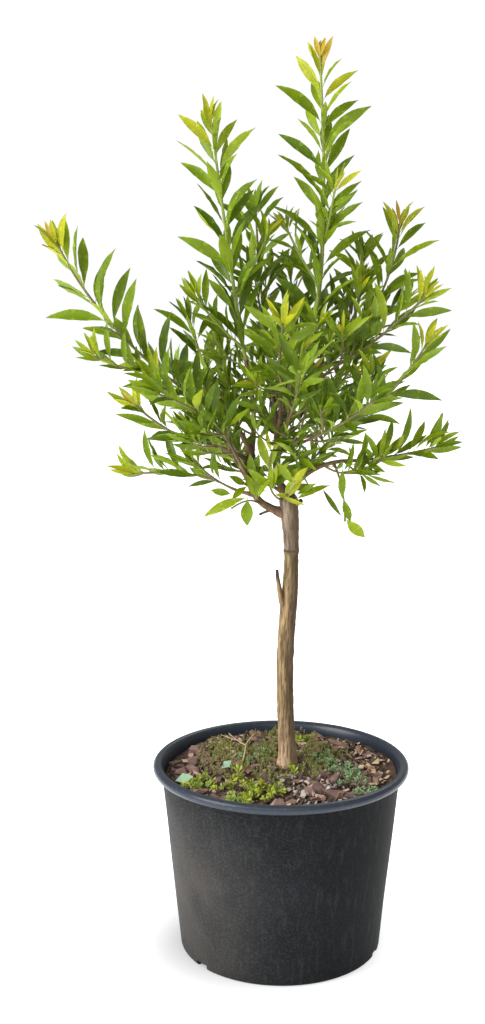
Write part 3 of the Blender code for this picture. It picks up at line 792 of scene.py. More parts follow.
chance = random.Random(SHAPE_SEED)
CHIPS, FLAKES = [
    shape_collection(name, [chip_mesh(chance, (1.0, chance.uniform(*width),
                                               chance.uniform(*height)))
                            for _ in range(count)])
    for name, width, height, count in (("chips", (0.55, 0.90), (0.30, 0.60), 9),
                                       ("flakes", (0.45, 0.85), (0.08, 0.18), 7))]
STRAWS = shape_collection("straws", [chip_mesh(chance, (1.0, 0.10, 0.06), 8) for _ in range(4)])
PEBBLES = shape_collection("pebbles", [pebble_mesh(chance) for _ in range(6)])

# %% [markdown]
# Moss is a cushion of tiny upright blades, and the weeds are creeping stems with small round
# leaves in whorls. Each shape is one sprig, closed and of few faces, because it comes hundreds
# of times.

# %% Shapes: moss, weeds and dry scraps
WHORL_TURN = 2.4
WHORL_TURN_SPREAD = 0.3
WHORL_LAYERS = 0.8
WHORL_REACH = (0.35, 0.5)
WHORL_NARROWING = 0.5
WHORL_TIP_RISE = (0.25, 0.6)
WHORL_WIDTHS = (0.8, 1.2)


def blade(shape, root, tip, side, half_width, belly=0.45, thick=0.12):
    """A closed blade of eight faces between two points, added to a mesh in the making."""
    middle = root.lerp(tip, belly)
    up = (tip - root).cross(side).normalized() * half_width * thick * 2
    corners = [root, tip, middle - side * half_width, middle + side * half_width,
               middle + up, middle - up]
    made = [shape.verts.new(corner) for corner in corners]
    for face in ((0, 4, 2), (0, 3, 4), (0, 2, 5), (0, 5, 3),
                 (1, 2, 4), (1, 4, 3), (1, 5, 2), (1, 3, 5)):
        shape.faces.new([made[number] for number in face])


def whorl_mesh(chance, leaves, out, rise, half_width, belly):
    """A sprig one unit across whose leaves stand round its middle."""
    shape = bmesh.new()
    for number in range(leaves):
        outward = outwards(WHORL_TURN * number
                           + chance.uniform(-WHORL_TURN_SPREAD, WHORL_TURN_SPREAD))
        side = Vector((-outward.y, outward.x, 0))
        layer = number / leaves
        root = Vector((0, 0, rise * layer * WHORL_LAYERS))
        reach = chance.uniform(*WHORL_REACH) * (1 - WHORL_NARROWING * layer)
        up = Vector((0, 0, rise * chance.uniform(*WHORL_TIP_RISE)))
        tip = root + outward * reach * out + up
        blade(shape, root, tip, side, half_width * chance.uniform(*WHORL_WIDTHS), belly)
    return mesh_from(shape, "sprig")


WHORLS = (  # name, how many, and each one's leaves, spread, rise, half width and belly
    ("moss sprigs", 5, (9, 0.8, 0.90, 0.075, 0.35)),
    ("small weeds", 6, (8, 1.1, 0.60, 0.115, 0.62)),
    ("round weeds", 5, (6, 1.1, 0.45, 0.160, 0.60)),
)
MOSS, SMALL_WEED, ROUND_WEED = [
    shape_collection(name, [whorl_mesh(chance, *build) for _ in range(count)])
    for name, count, build in WHORLS]

# %% [markdown]
# Where each thing lies is painted on the soil as attributes: numbers from 0 to 1 at each point
# that fade out from a few named patches. The patches follow the pot as it stands in the
# photograph: weeds in front on the left and on the right, pale gravel in front of the trunk,
# dry scraps along the right wall, and chips nearly everywhere.

# %% Soil: where things lie
PATCHES = {  # the x, the y and the reach of each patch
    "yellow weeds": ((-0.078, -0.045, 0.026), (-0.048, -0.052, 0.030), (-0.022, -0.066, 0.026),
                     (-0.038, -0.090, 0.020), (0.016, -0.020, 0.016), (0.030, 0.075, 0.012)),
    "blue weeds": ((0.048, 0.014, 0.022), (0.062, -0.008, 0.024), (0.072, -0.036, 0.022),
                   (0.082, -0.060, 0.020), (-0.030, 0.012, 0.018), (-0.016, 0.034, 0.014)),
    "moss": ((-0.020, 0.040, 0.048), (0.036, 0.030, 0.036), (-0.050, 0.010, 0.040),
             (0.026, -0.012, 0.024), (-0.010, -0.026, 0.026), (-0.060, 0.060, 0.026),
             (0.010, 0.085, 0.036)),
    "gravel": ((0.014, -0.048, 0.024), (0.036, -0.044, 0.020), (0.024, -0.080, 0.024)),
    "dry scraps": ((0.098, 0.010, 0.026), (0.100, -0.030, 0.024), (0.080, 0.044, 0.020),
                   (-0.062, 0.080, 0.022), (-0.050, 0.040, 0.020), (0.090, -0.062, 0.014)),
}
PATCH_MIDDLE = 1.6
PATCH_FADE = 1.5
PATCH_RAGGED = 0.9
PATCH_EVEN = 0.75
PATCH_RAGGED_SCALE = 95
TRUNK_CLEAR = 0.017
WALL_CLEAR = 0.0070
LARGE_CLEAR = 0.0105
SMALL_CLEAR = 0.0045
OPEN_HEIGHT = 0.160
TRUNK_SPOT = Vector((0.0073, 0.0080))


def paint(mesh, name, weigh):
    """Stores a number for each point of a mesh."""
    values = [weigh(vertex.co) for vertex in mesh.vertices]
    mesh.attributes.new(name, "FLOAT", "POINT").data.foreach_set("value", values)


def open_soil(place, wall_clear=WALL_CLEAR):
    """1 on the soil's top, away from the trunk and the wall, and 0 elsewhere."""
    inside = place.xy.length < soil_edge_radius - wall_clear and place.z > OPEN_HEIGHT
    return float(inside and (place.xy - TRUNK_SPOT).length > TRUNK_CLEAR)


def patchy(name):
    def weigh(place):
        strongest = 0.0
        for x, y, reach in PATCHES[name]:
            away = (place.xy - Vector((x, y))).length / reach
            strongest = max(strongest, min(1.0, PATCH_MIDDLE - away * PATCH_FADE))
        ragged = PATCH_EVEN + PATCH_RAGGED * noise.noise(place * PATCH_RAGGED_SCALE)
        return open_soil(place) * max(0.0, min(1.0, strongest * ragged))
    return weigh


bed = soil.data.copy()
paint(bed, "anywhere", open_soil)
paint(bed, "well inside", lambda place: open_soil(place, LARGE_CLEAR))
paint(bed, "up to the wall", lambda place: open_soil(place, SMALL_CLEAR))
for name in PATCHES:
    paint(bed, name, patchy(name))
print("patches painted:", ", ".join(PATCHES))

# %% [markdown]
# Now the top dressing. Each row below is one run of the scatter tree: its own shapes, places,
# sizes and finish. The colours of chips differ from chip to chip, so each colour is a run of
# its own rather than a pattern on one piece.

# %% Soil: top dressing
DARK_CHIP = mottled("dark chip", (98, 80, 68), (60, 48, 42), 0.92, 160.0)
MAUVE = mottled("mauve lava", (150, 118, 110), (96, 74, 68), 0.92, 120.0)
RUST = mottled("brown bark chip", (156, 122, 98), (104, 80, 62), 0.92, 120.0)
PINK_CHIP = mottled("pinkish chip", (208, 178, 158), (160, 128, 110), 0.9, 150.0)
GREY_GRIT = mottled("pale grit", (206, 192, 180), (158, 142, 134), 0.85, 300.0)
MOSS_GREEN = mottled("moss", (164, 164, 90), (124, 130, 66), 0.9, 180.0)
YELLOW_WEED = mottled("yellow weed", (190, 198, 58), (138, 154, 44), 0.55, 120.0)
LEAFY_WEED = mottled("leafy weed", (150, 172, 62), (112, 138, 50), 0.55, 90.0)
BLUE_WEED = mottled("blue weed", (150, 176, 124), (110, 140, 92), 0.6, 120.0)
STRAW = mottled("straw", (214, 188, 152), (176, 144, 110), 0.9, 200.0)

MEASURES = ("Apart", "Density", "Smallest", "Largest", "Tilt", "Lift")
DRESSINGS = (  # name, where it lies, shapes, finish, and the measures above
    ("chips_dark", "anywhere", CHIPS, DARK_CHIP, 0.0046, 26000, 0.006, 0.0135, 0.7, 0.0010),
    ("chips_small", "up to the wall", CHIPS, DARK_CHIP, 0.0044, 24000, 0.003, 0.0080, 1.0, 0.0016),
    ("chips_mauve", "well inside", CHIPS, MAUVE, 0.0088, 8000, 0.007, 0.020, 0.6, 0.0022),
    ("chips_brown", "well inside", CHIPS, RUST, 0.0130, 4000, 0.007, 0.017, 0.6, 0.0024),
    ("flakes_pink", "anywhere", FLAKES, PINK_CHIP, 0.0105, 6500, 0.005, 0.0130, 0.6, 0.0036),
    ("gravel", "gravel", CHIPS, GREY_GRIT, 0.0040, 50000, 0.0030, 0.0095, 3.0, 0.0040),
    ("grit", "anywhere", PEBBLES, GREY_GRIT, 0.0060, 12000, 0.0014, 0.0030, 3.0, 0.0024),
    ("moss_cushions", "moss", MOSS, MOSS_GREEN, 0.0021, 120000, 0.0045, 0.0090, 0.5, 0.0030),
    ("weeds_yellow", "yellow weeds", SMALL_WEED, YELLOW_WEED, 0.0052, 40000, 0.0080, 0.0165,
     0.9, 0.0050),
    ("weeds_leafy", "yellow weeds", ROUND_WEED, LEAFY_WEED, 0.0068, 24000, 0.0100, 0.0190,
     0.9, 0.0046),
    ("weeds_blue", "blue weeds", SMALL_WEED, BLUE_WEED, 0.0034, 80000, 0.0055, 0.0110,
     0.9, 0.0044),
    ("dry_flakes", "dry scraps", FLAKES, STRAW, 0.0050, 34000, 0.005, 0.013, 0.7, 0.0042),
    ("dry_straws", "dry scraps", STRAWS, STRAW, 0.0100, 7000, 0.010, 0.022, 0.5, 0.0062),
)
for number, (name, where, shapes, finish, *measures) in enumerate(DRESSINGS):
    piece = run_tree(name, bed, SCATTER, {
        "Where": where, "Shapes": shapes, "Finish": finish, "Seed": number,
        **dict(zip(MEASURES, measures))})
    "foliage" if "weed" in name or "moss" in name else "soil"
    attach(piece, BODY)
    print(name, triangles(piece), "triangles")

# %% [markdown]
# A few larger things lie where the photograph shows them, so they are placed one by one: lumps of
# lava and bark, and two fallen leaves. Each row of lumps is one joined piece of its own colour.

# %% Soil: lumps and fallen leaves
LUMPS = (  # colour, finish, and each lump's x, y, size and turn
    ("mauve", MAUVE, ((-0.087, 0.056, (0.020, 0.016, 0.014), 0.3),
                      (0.050, -0.064, (0.024, 0.018, 0.013), 2.7),
                      (0.066, -0.066, (0.013, 0.012, 0.010), 1.2),
                      (-0.043, 0.024, (0.016, 0.012, 0.006), 2.3))),
    ("tan", RUST, ((0.061, 0.074, (0.017, 0.013, 0.011), 0.4),
                   (0.008, -0.084, (0.016, 0.011, 0.007), 0.6))),
    ("dark", DARK_CHIP, ((-0.012, -0.060, (0.013, 0.012, 0.012), 1.8),
                         (-0.082, -0.063, (0.015, 0.011, 0.008), 0.1),
                         (-0.107, 0.016, (0.014, 0.014, 0.012), 0.9),
                         (-0.069, 0.076, (0.013, 0.010, 0.009), 1.5))),
)
LUMP_SINK = 0.30
LUMP_CORNERS = 14
LUMP_LEAN = (0.15, -0.1)
FALLEN_LEAVES = (  # foot, tip, half the width
    ((-0.1060, -0.0380), (-0.0880, -0.0350), 0.0068),
    ((-0.0600, -0.0135), (-0.0500, -0.0070), 0.0045),
)
FALLEN_RISE = (0.0080, 0.0110)
FALLEN_FACE = Vector((0, -0.7, 1))
FALLEN_BELLY = 0.5
FALLEN_THICK = 0.06
PALE_LEAF = mottled("pale fallen leaf", (172, 204, 172), (140, 176, 142), 0.6, 90.0)


def lumps_mesh(rows, chance):
    """Lumps of one colour, joined: each sits in the soil by a share of its own height."""
    joined = bmesh.new()
    for x, y, size, turn in rows:
        lump = chip_mesh(chance, size, LUMP_CORNERS)
        ground = soil_height(x, y) + size[2] * (0.5 - LUMP_SINK)
        lump.transform(Matrix.LocRotScale(Vector((x, y, ground)), Euler((*LUMP_LEAN, turn)),
                                          None))
        joined.from_mesh(lump)
        bpy.data.meshes.remove(lump)
    return mesh_from(joined, "lumps")


for colour, finish, rows in LUMPS:
    piece = piece_of("lumps_" + colour, lumps_mesh(rows, chance), finish)
    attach(piece, BODY)

shape = bmesh.new()
for *ends, half_width in FALLEN_LEAVES:
    root, tip = [Vector((x, y, soil_height(x, y) + rise))
                 for (x, y), rise in zip(ends, FALLEN_RISE)]
    blade(shape, root, tip, (tip - root).cross(FALLEN_FACE).normalized(), half_width,
          FALLEN_BELLY, FALLEN_THICK)
piece = piece_of("fallen_leaves", mesh_from(shape, "fallen leaves"), PALE_LEAF)
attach(piece, BODY)
print("lumps:", sum(len(rows) for *_, rows in LUMPS), "and fallen leaves:", len(FALLEN_LEAVES))

# %% [markdown]
# The plant itself follows the same growth rule as the solid model, written again here: each
# limb leaves its parent at a share of the way along, bends once on its way to its elbow, and
# carries a leafy shoot on to its tip. The rows hold those few driving sizes, and everything
# else is worked out from them.

# %% Limbs
TRUNK_FOOT = Vector((0.0073, 0.0080, SOIL_TOP + GAP))
TRUNK_HEAD = Vector((0.0064, 0.0000, 0.4640))
TRUNK_RADIUS = 0.0085
TRUNK_FLARE = 0.0036
TRUNK_FLARE_FADE = 0.035
TRUNK_WAIST = 0.0013
TRUNK_WAIST_PLACE = 0.80
TRUNK_WAIST_SPREAD = 0.11
TRUNK_SWELL = 0.0010
TRUNK_SWELL_FROM = 0.80
TRUNK_SWAY = 0.0030
TRUNK_SWAY_POWER = 1.3
TRUNK_STEPS = 12
BOUGH_TAPER = 0.72
BOUGH_STEP = 0.015
TWIG_TIP_RADIUS = 0.0011
SHOOT_SWEEP = 0.42

Limb = namedtuple("Limb", "parent place elbow tip radius twigs bow sweep",
                  defaults=[(0, 0, 0), SHOOT_SWEEP])
LIMBS = {
    "leader": Limb("trunk", 0.970, (0.0255, 0.010, 0.621), (0.034, 0.010, 0.888), 0.0034, 3,
                   (-0.021, 0.000, -0.022), 0.22),
    "left": Limb("trunk", 0.844, (-0.029, -0.010, 0.513), None, 0.0043, 0,
                 (-0.0172, -0.001, -0.0098)),
    "left_long": Limb("left", 0.950, (-0.072, -0.022, 0.560), (-0.213, -0.034, 0.714), 0.0030, 2,
                      (0.006, -0.001, 0.004), 0.55),
    "tall_left": Limb("left", 0.800, (-0.036, 0.000, 0.602), (-0.069, -0.008, 0.829), 0.0027, 2,
                      (0.006, 0.001, 0.000), 0.15),
    "left_mid": Limb("left", 0.890, (-0.074, -0.032, 0.524), (-0.139, -0.062, 0.564), 0.0023, 1,
                     (-0.002, -0.002, 0.005)),
    "left_low": Limb("left", 0.480, (-0.059, 0.010, 0.479), (-0.150, 0.024, 0.486), 0.0021, 1,
                     (0.000, 0.000, -0.002)),
    "left_spur": Limb("left", 0.300, (-0.030, -0.014, 0.466), (-0.050, -0.026, 0.460), 0.0015, 0),
    "left_inner": Limb("left_long", 0.250, (-0.062, 0.035, 0.560), (-0.093, 0.064, 0.640),
                       0.0020, 1),
    "right_upper": Limb("leader", 0.780, (0.058, 0.016, 0.612), (0.114, 0.024, 0.732), 0.0022, 2,
                        (0.000, 0.000, -0.002), 0.50),
    "right_reach": Limb("leader", 0.660, (0.060, -0.022, 0.603), (0.131, -0.050, 0.664), 0.0021, 1,
                        (0.001, -0.002, 0.005)),
    "right_mid": Limb("leader", 0.470, (0.052, -0.030, 0.539), (0.132, -0.064, 0.622), 0.0023, 2),
    "right_low": Limb("trunk", 0.960, (0.071, -0.012, 0.505), (0.148, -0.032, 0.521), 0.0031, 1,
                      (-0.007, 0.000, 0.0094)),
    "right_inner": Limb("leader", 0.840, (0.064, 0.045, 0.631), (0.081, 0.060, 0.704), 0.0020, 1),
    "hanging": Limb("right_low", 0.740, (0.058, -0.016, 0.478), (0.061, -0.020, 0.446), 0.0014, 0,
                    (0.000, 0.000, 0.004)),
    "front": Limb("leader", 0.350, (0.007, -0.060, 0.558), (0.011, -0.146, 0.600), 0.0022, 1),
    "front_top": Limb("leader", 0.610, (-0.004, -0.050, 0.594), (-0.003, -0.114, 0.642),
                      0.0021, 1),
    "front_left": Limb("left", 0.700, (-0.055, -0.062, 0.535), (-0.115, -0.114, 0.580),
                       0.0022, 1),
    "front_right": Limb("leader", 0.410, (0.035, -0.062, 0.537), (0.080, -0.121, 0.575),
                        0.0022, 1),
    "fork_spur": Limb("trunk", 0.985, (0.006, -0.019, 0.474), (0.010, -0.060, 0.492), 0.0017, 0),
    "back_tall": Limb("leader", 0.540, (-0.016, 0.045, 0.624), (-0.026, 0.066, 0.750), 0.0023, 2),
    "back_centre": Limb("leader", 0.650, (0.010, 0.055, 0.618), (0.009, 0.090, 0.690), 0.0021, 1),
    "back_left": Limb("left", 0.610, (-0.058, 0.062, 0.516), (-0.113, 0.132, 0.578), 0.0022, 1),
    "back_right": Limb("leader", 0.380, (0.034, 0.068, 0.540), (0.086, 0.137, 0.595), 0.0022, 1),
    "back": Limb("leader", 0.500, (-0.011, 0.070, 0.560), (-0.019, 0.156, 0.614), 0.0022, 1),
    "back_low_right": Limb("trunk", 0.950, (0.026, 0.058, 0.488), (0.060, 0.142, 0.500),
                           0.0022, 1),
    "back_low_left": Limb("trunk", 0.940, (-0.025, 0.058, 0.481), (-0.068, 0.138, 0.494),
                          0.0022, 1),
}
SHOOTS = [name for name, limb in LIMBS.items() if limb.tip]
print("limbs:", len(LIMBS), "and leafy shoots:", len(SHOOTS))

# %% [markdown]
# The paths come first, as plain points. A limb's coarse points are the ones that the solid
# model has, because a child limb starts at a place counted along them. The fine points on the
# same curve are for the shapes made here.

# %% Paths of the trunk and the limbs
FINE_STEP = 0.0016


def trunk_centre(share):
    """The trunk's middle line, which sways a little to the left and then to the right."""
    centre = TRUNK_FOOT.lerp(TRUNK_HEAD, share)
    centre.x -= TRUNK_SWAY * math.sin(2 * math.pi * max(0.0, share) ** TRUNK_SWAY_POWER)
    return centre


def trunk_radius(share):
    flare = TRUNK_FLARE * math.exp(-share / TRUNK_FLARE_FADE)
    waist = TRUNK_WAIST * math.exp(-((share - TRUNK_WAIST_PLACE) / TRUNK_WAIST_SPREAD) ** 2)
    swell = TRUNK_SWELL * max(0.0, (share - TRUNK_SWELL_FROM) / (1 - TRUNK_SWELL_FROM))
    return TRUNK_RADIUS + flare - waist + swell


def curve(start, bend, end, step_length):
    """Points on the arc that leaves `start` towards `bend` and reaches `end` from it."""
    length = (bend - start).length + (end - bend).length
    steps = max(3, round(length / step_length))
    points = []
    for step in range(steps + 1):
        share = step / steps
        points.append(start * (1 - share) ** 2 + bend * 2 * share * (1 - share) + end * share ** 2)
    return points


def place_on(points, share):
    """The point that lies a share of the way along a path."""
    spot = share * (len(points) - 1)
    number = min(int(spot), len(points) - 2)
    return points[number].lerp(points[number + 1], spot - number)


def coarse_trunk():
    shares = [0, 0.012, 0.03, 0.06]
    shares += [0.06 + 0.94 * step / TRUNK_STEPS for step in range(1, TRUNK_STEPS + 1)]
    points = [trunk_centre(share) for share in shares]
    head = (points[-1] - points[-2]).normalized()
    return points + [points[-1] + head * rise for rise in (0.0030, 0.0048)]


coarse = {"trunk": coarse_trunk()}
arcs = {}
for name, limb in LIMBS.items():
    start = place_on(coarse[limb.parent], limb.place)
    end = Vector(limb.elbow)
    bend = (start + end) / 2 + 2 * Vector(limb.bow)
    coarse[name] = curve(start, bend, end, BOUGH_STEP)
    arcs[name] = (start, bend, end)
print("longest limb in points:", max(len(points) for points in coarse.values()))

# %% [markdown]
# A shoot goes on from its bough in the bough's own direction, with a few side twigs low down.
# The bare limbs inside the crown get short twigs too, all within the solid's reach. Stems are
# planned before any leaf, so that leaves can keep clear of them.

# %% Paths of the shoots and their twigs
GROWTH_SEED = 23
SPIRAL = math.radians(137.5)
STEM_STEP = 0.006
WAY_STEP = 0.03
SHOOT_SUNK = 0.002
TWIG_ANGLE = math.radians(42)
TWIG_FIRST = 0.06
TWIG_LAST = 0.48
TWIG_SHARE = 0.42
TWIG_LONGEST = 0.070
TWIG_SHORTEST = 0.018
TWIG_RISE = 0.5
TWIG_SHORTENING = 0.6
SIDE_TWIG = (1.35, 0.945)  # shares of the fine twigs' radius
FINE_TWIG_RADIUS = 0.0010
BOUGH_TWIG_APART = 0.023
BOUGH_TWIG_FROM = 0.25
BOUGH_TWIG_LOWEST = 0.496
BOUGH_TWIG_REACH = (0.026, 0.052)
BOUGH_TWIG_RISE = 0.7
BOUGH_TWIG_ALONG = 0.5
BOUGH_TWIG_OUTWARDS = 0.3
TALL_SHOOTS = ("leader", "tall_left")
SLIM_SHARE = 0.72
HAND_LEAVED = ("hanging", "left_spur", "fork_spur")
FORK_SPRIG = (Vector((-0.0010, -0.0040, 0.4650)), Vector((-0.0190, -0.0200, 0.4740)),
              Vector((-0.0110, -0.0340, 0.5160)))
Stem = namedtuple("Stem", "limb order points radii")


def length_of(points):
    return sum((after - before).length for before, after in zip(points, points[1:]))


def way_at(points, share):
    """The direction of a path at a share of its length."""
    after = place_on(points, min(1.0, share + WAY_STEP))
    return (after - place_on(points, max(0.0, share - WAY_STEP))).normalized()


def spoke_at(way, turn):
    """A direction square to a path, turned about it."""
    aside = way.orthogonal().normalized()
    return aside * math.cos(turn) + way.cross(aside) * math.sin(turn)


def evened(points, step_length):
    """The same path, with its points at equal distances along it."""
    lengths = [0.0]
    for before, after in zip(points, points[1:]):
        lengths.append(lengths[-1] + (after - before).length)
    steps = max(3, round(lengths[-1] / step_length))
    made = []
    number = 0
    for step in range(steps + 1):
        wanted = lengths[-1] * step / steps
        while number < len(points) - 2 and lengths[number + 1] < wanted:
            number += 1
        part = (wanted - lengths[number]) / (lengths[number + 1] - lengths[number])
        made.append(points[number].lerp(points[number + 1], part))
    return made


def tapering(points, first, last):
    steps = len(points) - 1
    return [first + (last - first) * number / steps for number in range(steps + 1)]


def bough_taper(name):
    return BOUGH_TAPER * (1.0 if name in TALL_SHOOTS else SLIM_SHARE)


def main_stem(name):
    limb = LIMBS[name]
    points = coarse[name]
    facing = (points[-1] - points[-2]).normalized()
    start = points[-1] - facing * SHOOT_SUNK
    end = Vector(limb.tip)
    bend = start + facing * (end - start).length * limb.sweep
    path = evened(curve(start, bend, end, STEM_STEP / 4), STEM_STEP)
    return Stem(name, 0, path, tapering(path, limb.radius * bough_taper(name), TWIG_TIP_RADIUS))


def fine_twig(limb, path, foot=1.2, tip=0.7):
    """A twig that thins out from one share of the fine twigs' radius to another."""
    return Stem(limb, 1, path, tapering(path, FINE_TWIG_RADIUS * foot, FINE_TWIG_RADIUS * tip))


def rising(root, way, reach, rise):
    """The path of a twig that leaves its root in one direction and turns up half way."""
    bend = root + way * reach * 0.5
    tip = bend + (way + Vector((0, 0, rise))).normalized() * reach * 0.5
    return curve(root, bend, tip, STEM_STEP)


def side_twigs(stem, count, chance):
    """Short twigs that leave a stem on a spiral, shorter the higher they start."""
    for number in range(count):
        share = TWIG_FIRST + (TWIG_LAST - TWIG_FIRST) * number / count
        stem_way = way_at(stem.points, share)
        spoke = spoke_at(stem_way, SPIRAL * number + chance.uniform(0, 2 * math.pi))
        shorter = 1 - TWIG_SHORTENING * share
        reach = min(TWIG_LONGEST, TWIG_SHARE * length_of(stem.points) * shorter)
        if reach >= TWIG_SHORTEST:
            way = stem_way * math.cos(TWIG_ANGLE) + spoke * math.sin(TWIG_ANGLE)
            path = rising(place_on(stem.points, share), way, reach, TWIG_RISE)
            yield fine_twig(stem.limb, path, *SIDE_TWIG)


def bough_twigs(name, chance):
    """Short leafy twigs on the bare part of a limb, which fill the inside of the crown."""
    points = coarse[name]
    count = round(length_of(points) / BOUGH_TWIG_APART)
    for number in range(count):
        share = BOUGH_TWIG_FROM + (1 - BOUGH_TWIG_FROM) * (number + 0.5) / count
        root = place_on(points, share)
        if root.z >= BOUGH_TWIG_LOWEST:
            stem_way = way_at(points, share)
            spoke = spoke_at(stem_way, SPIRAL * number + chance.uniform(0, 2 * math.pi))
            out = Vector((root.x, root.y, 0)).normalized() * BOUGH_TWIG_OUTWARDS
            way = (stem_way * BOUGH_TWIG_ALONG + spoke + out).normalized()
            reach = chance.uniform(*BOUGH_TWIG_REACH)
            yield fine_twig(name, rising(root, way, reach, BOUGH_TWIG_RISE))


chance = random.Random(GROWTH_SEED)
main_stems = [main_stem(name) for name in SHOOTS]
stems = list(main_stems)
for stem in main_stems:
    stems += side_twigs(stem, LIMBS[stem.limb].twigs, chance)
for name in LIMBS:
    if name not in HAND_LEAVED:
        stems += bough_twigs(name, chance)
stems.append(fine_twig("left_spur", curve(*FORK_SPRIG, STEM_STEP / 2)))
print("stems and twigs:", len(stems), "with", round(sum(length_of(s.points) for s in stems), 2),
      "m of stem")

# %% [markdown]
# Limbs and stems are tubes along those paths, and Geometry Nodes follow a path well: the points
# become a curve, a ring is drawn along it, and the ring's size is read from an attribute. The
# bark's relief comes from a ridged noise that is stretched along the limb, pushed into the
# surface as real depth. The same number is stored as the attribute crack, so that the colour of
# the cracks falls exactly in them. The tree also stores the attribute shade, how far each point
# faces a given side, which the bark uses for painted shade.

# %% Limb tree
CRACK_WIDTH = 0.060
NEXT_PATTERN = 7.31
SHADE_TURN = (-0.25, 0.80)
LUMP_SCALE = 120.0


def captured(tree, geometry, kind, value):
    """Measures a value now and carries it along: gives the geometry and the kept value."""
    made = node(tree, "GeometryNodeCaptureAttribute", {"Geometry": geometry})
    made.capture_items.new(kind, "kept")
    tree.links.new(value, made.inputs[1])
    return made.outputs[0], made.outputs[1]


def scaled(tree, way, size):
    return node(tree, "ShaderNodeVectorMath", {0: way, "Scale": size},
                operation="SCALE").outputs[0]


def make_limb_tree():
    tree, given, out = new_tree("limbs with bark", {
        "Sides": "Int", "Crack depth": "Float", "Crack spacing": "Float",
        "Crack length": "Float", "Lumps": "Float", "Shade side": "Vector",
        "Finish": "Material"})
    thick = read(tree, "thick")
    spot = node(tree, "GeometryNodeInputPosition").outputs[0]
    normal = node(tree, "GeometryNodeInputNormal").outputs[0]
    line = node(tree, "GeometryNodeMeshToCurve", {"Mesh": given["Geometry"]}).outputs[0]
    line, along = captured(tree, line, "FLOAT",
                           node(tree, "GeometryNodeSplineParameter").outputs["Length"])
    ring = node(tree, "GeometryNodeCurvePrimitiveCircle",
                {"Resolution": given["Sides"], "Radius": 1.0}).outputs[0]
    ring, spoke = captured(tree, ring, "VECTOR", spot)
    tube = node(tree, "GeometryNodeCurveToMesh",
                {"Curve": line, "Profile Curve": ring, "Scale": thick,
                 "Fill Caps": True}).outputs[0]

    flat = scaled(tree, spoke, number_of(tree, "DIVIDE", thick, given["Crack spacing"]))
    up = number_of(tree, "DIVIDE", along, given["Crack length"])
    up = number_of(tree, "MULTIPLY_ADD", read(tree, "number"), NEXT_PATTERN, up)
    cloud = node(tree, "ShaderNodeTexNoise",
                 {"Vector": vector_of(tree, "ADD", flat, vector(tree, 0.0, 0.0, up)),
                  "Scale": 1.0, "Detail": 3.0, "Roughness": 0.55, "Distortion": 0.5})
    away = number_of(tree, "ABSOLUTE", number_of(tree, "SUBTRACT", cloud.outputs["Fac"], 0.5))
    crack = ramp(tree, away, 0.0, CRACK_WIDTH, 1.0, 0.0, smooth=True)
    crack = number_of(tree, "MULTIPLY", crack, read(tree, "rough"))
    # How far a point faces the given side: the bark paints shade from it.
    turned_away = measure_of(tree, "DOT_PRODUCT", normal, given["Shade side"])
    shade = ramp(tree, turned_away, *SHADE_TURN, smooth=True)
    for label, value in (("shade", shade), ("crack", crack)):
        tube = node(tree, "GeometryNodeStoreNamedAttribute",
                    {"Geometry": tube, "Name": label, "Value": value},
                    data_type="FLOAT", domain="POINT").outputs[0]

    lump = node(tree, "ShaderNodeTexNoise", {"Vector": spot, "Scale": LUMP_SCALE, "Detail": 1.0})
    lump = number_of(tree, "SUBTRACT", lump.outputs["Fac"], 0.5)
    lump = number_of(tree, "MULTIPLY", number_of(tree, "MULTIPLY", lump, given["Lumps"]), thick)
    sunk = number_of(tree, "MULTIPLY", crack, given["Crack depth"])
    relief = node(tree, "GeometryNodeSetPosition",
                  {"Geometry": tube,
                   "Offset": scaled(tree, normal, number_of(tree, "SUBTRACT", lump, sunk))})
    smooth = node(tree, "GeometryNodeSetShadeSmooth", {"Geometry": relief.outputs[0]})
    return end_tree(tree, out, smooth.outputs[0], (True, given["Finish"]))


LIMB_TREE = make_limb_tree()
print("limb tree:", len(LIMB_TREE.nodes), "nodes")

# %% Paths as meshes
Path = namedtuple("Path", "points thick rough age dark", defaults=[0.0, 0.0, 0.0])


def path_mesh(name, paths):
    """Each path as a chain of edges. A measure is one number, or a list of one for each point."""
    vertices, edges = [], []
    measures = {label: [] for label in ("thick", "rough", "age", "dark", "number")}
    for number, path in enumerate(paths):
        first, count = len(vertices), len(path.points)
        vertices += path.points
        edges += [(first + step, first + step + 1) for step in range(count - 1)]
        for label, values in measures.items():
            value = number if label == "number" else getattr(path, label)
            values += value if isinstance(value, list) else [value] * count
    mesh = plain_mesh(name, vertices, edges)
    for label, values in measures.items():
        mesh.attributes.new(label, "FLOAT", "POINT").data.foreach_set("value", values)
    return mesh

# %% [markdown]
# The trunk's bark is ridged below the graft and smoother above it, where the trunk is the
# grafted variety. Each limb leaves its parent with a collar, a short swelling, as real limbs
# do. Cut stubs, the snag and the knob of the old graft are short limbs of their own.

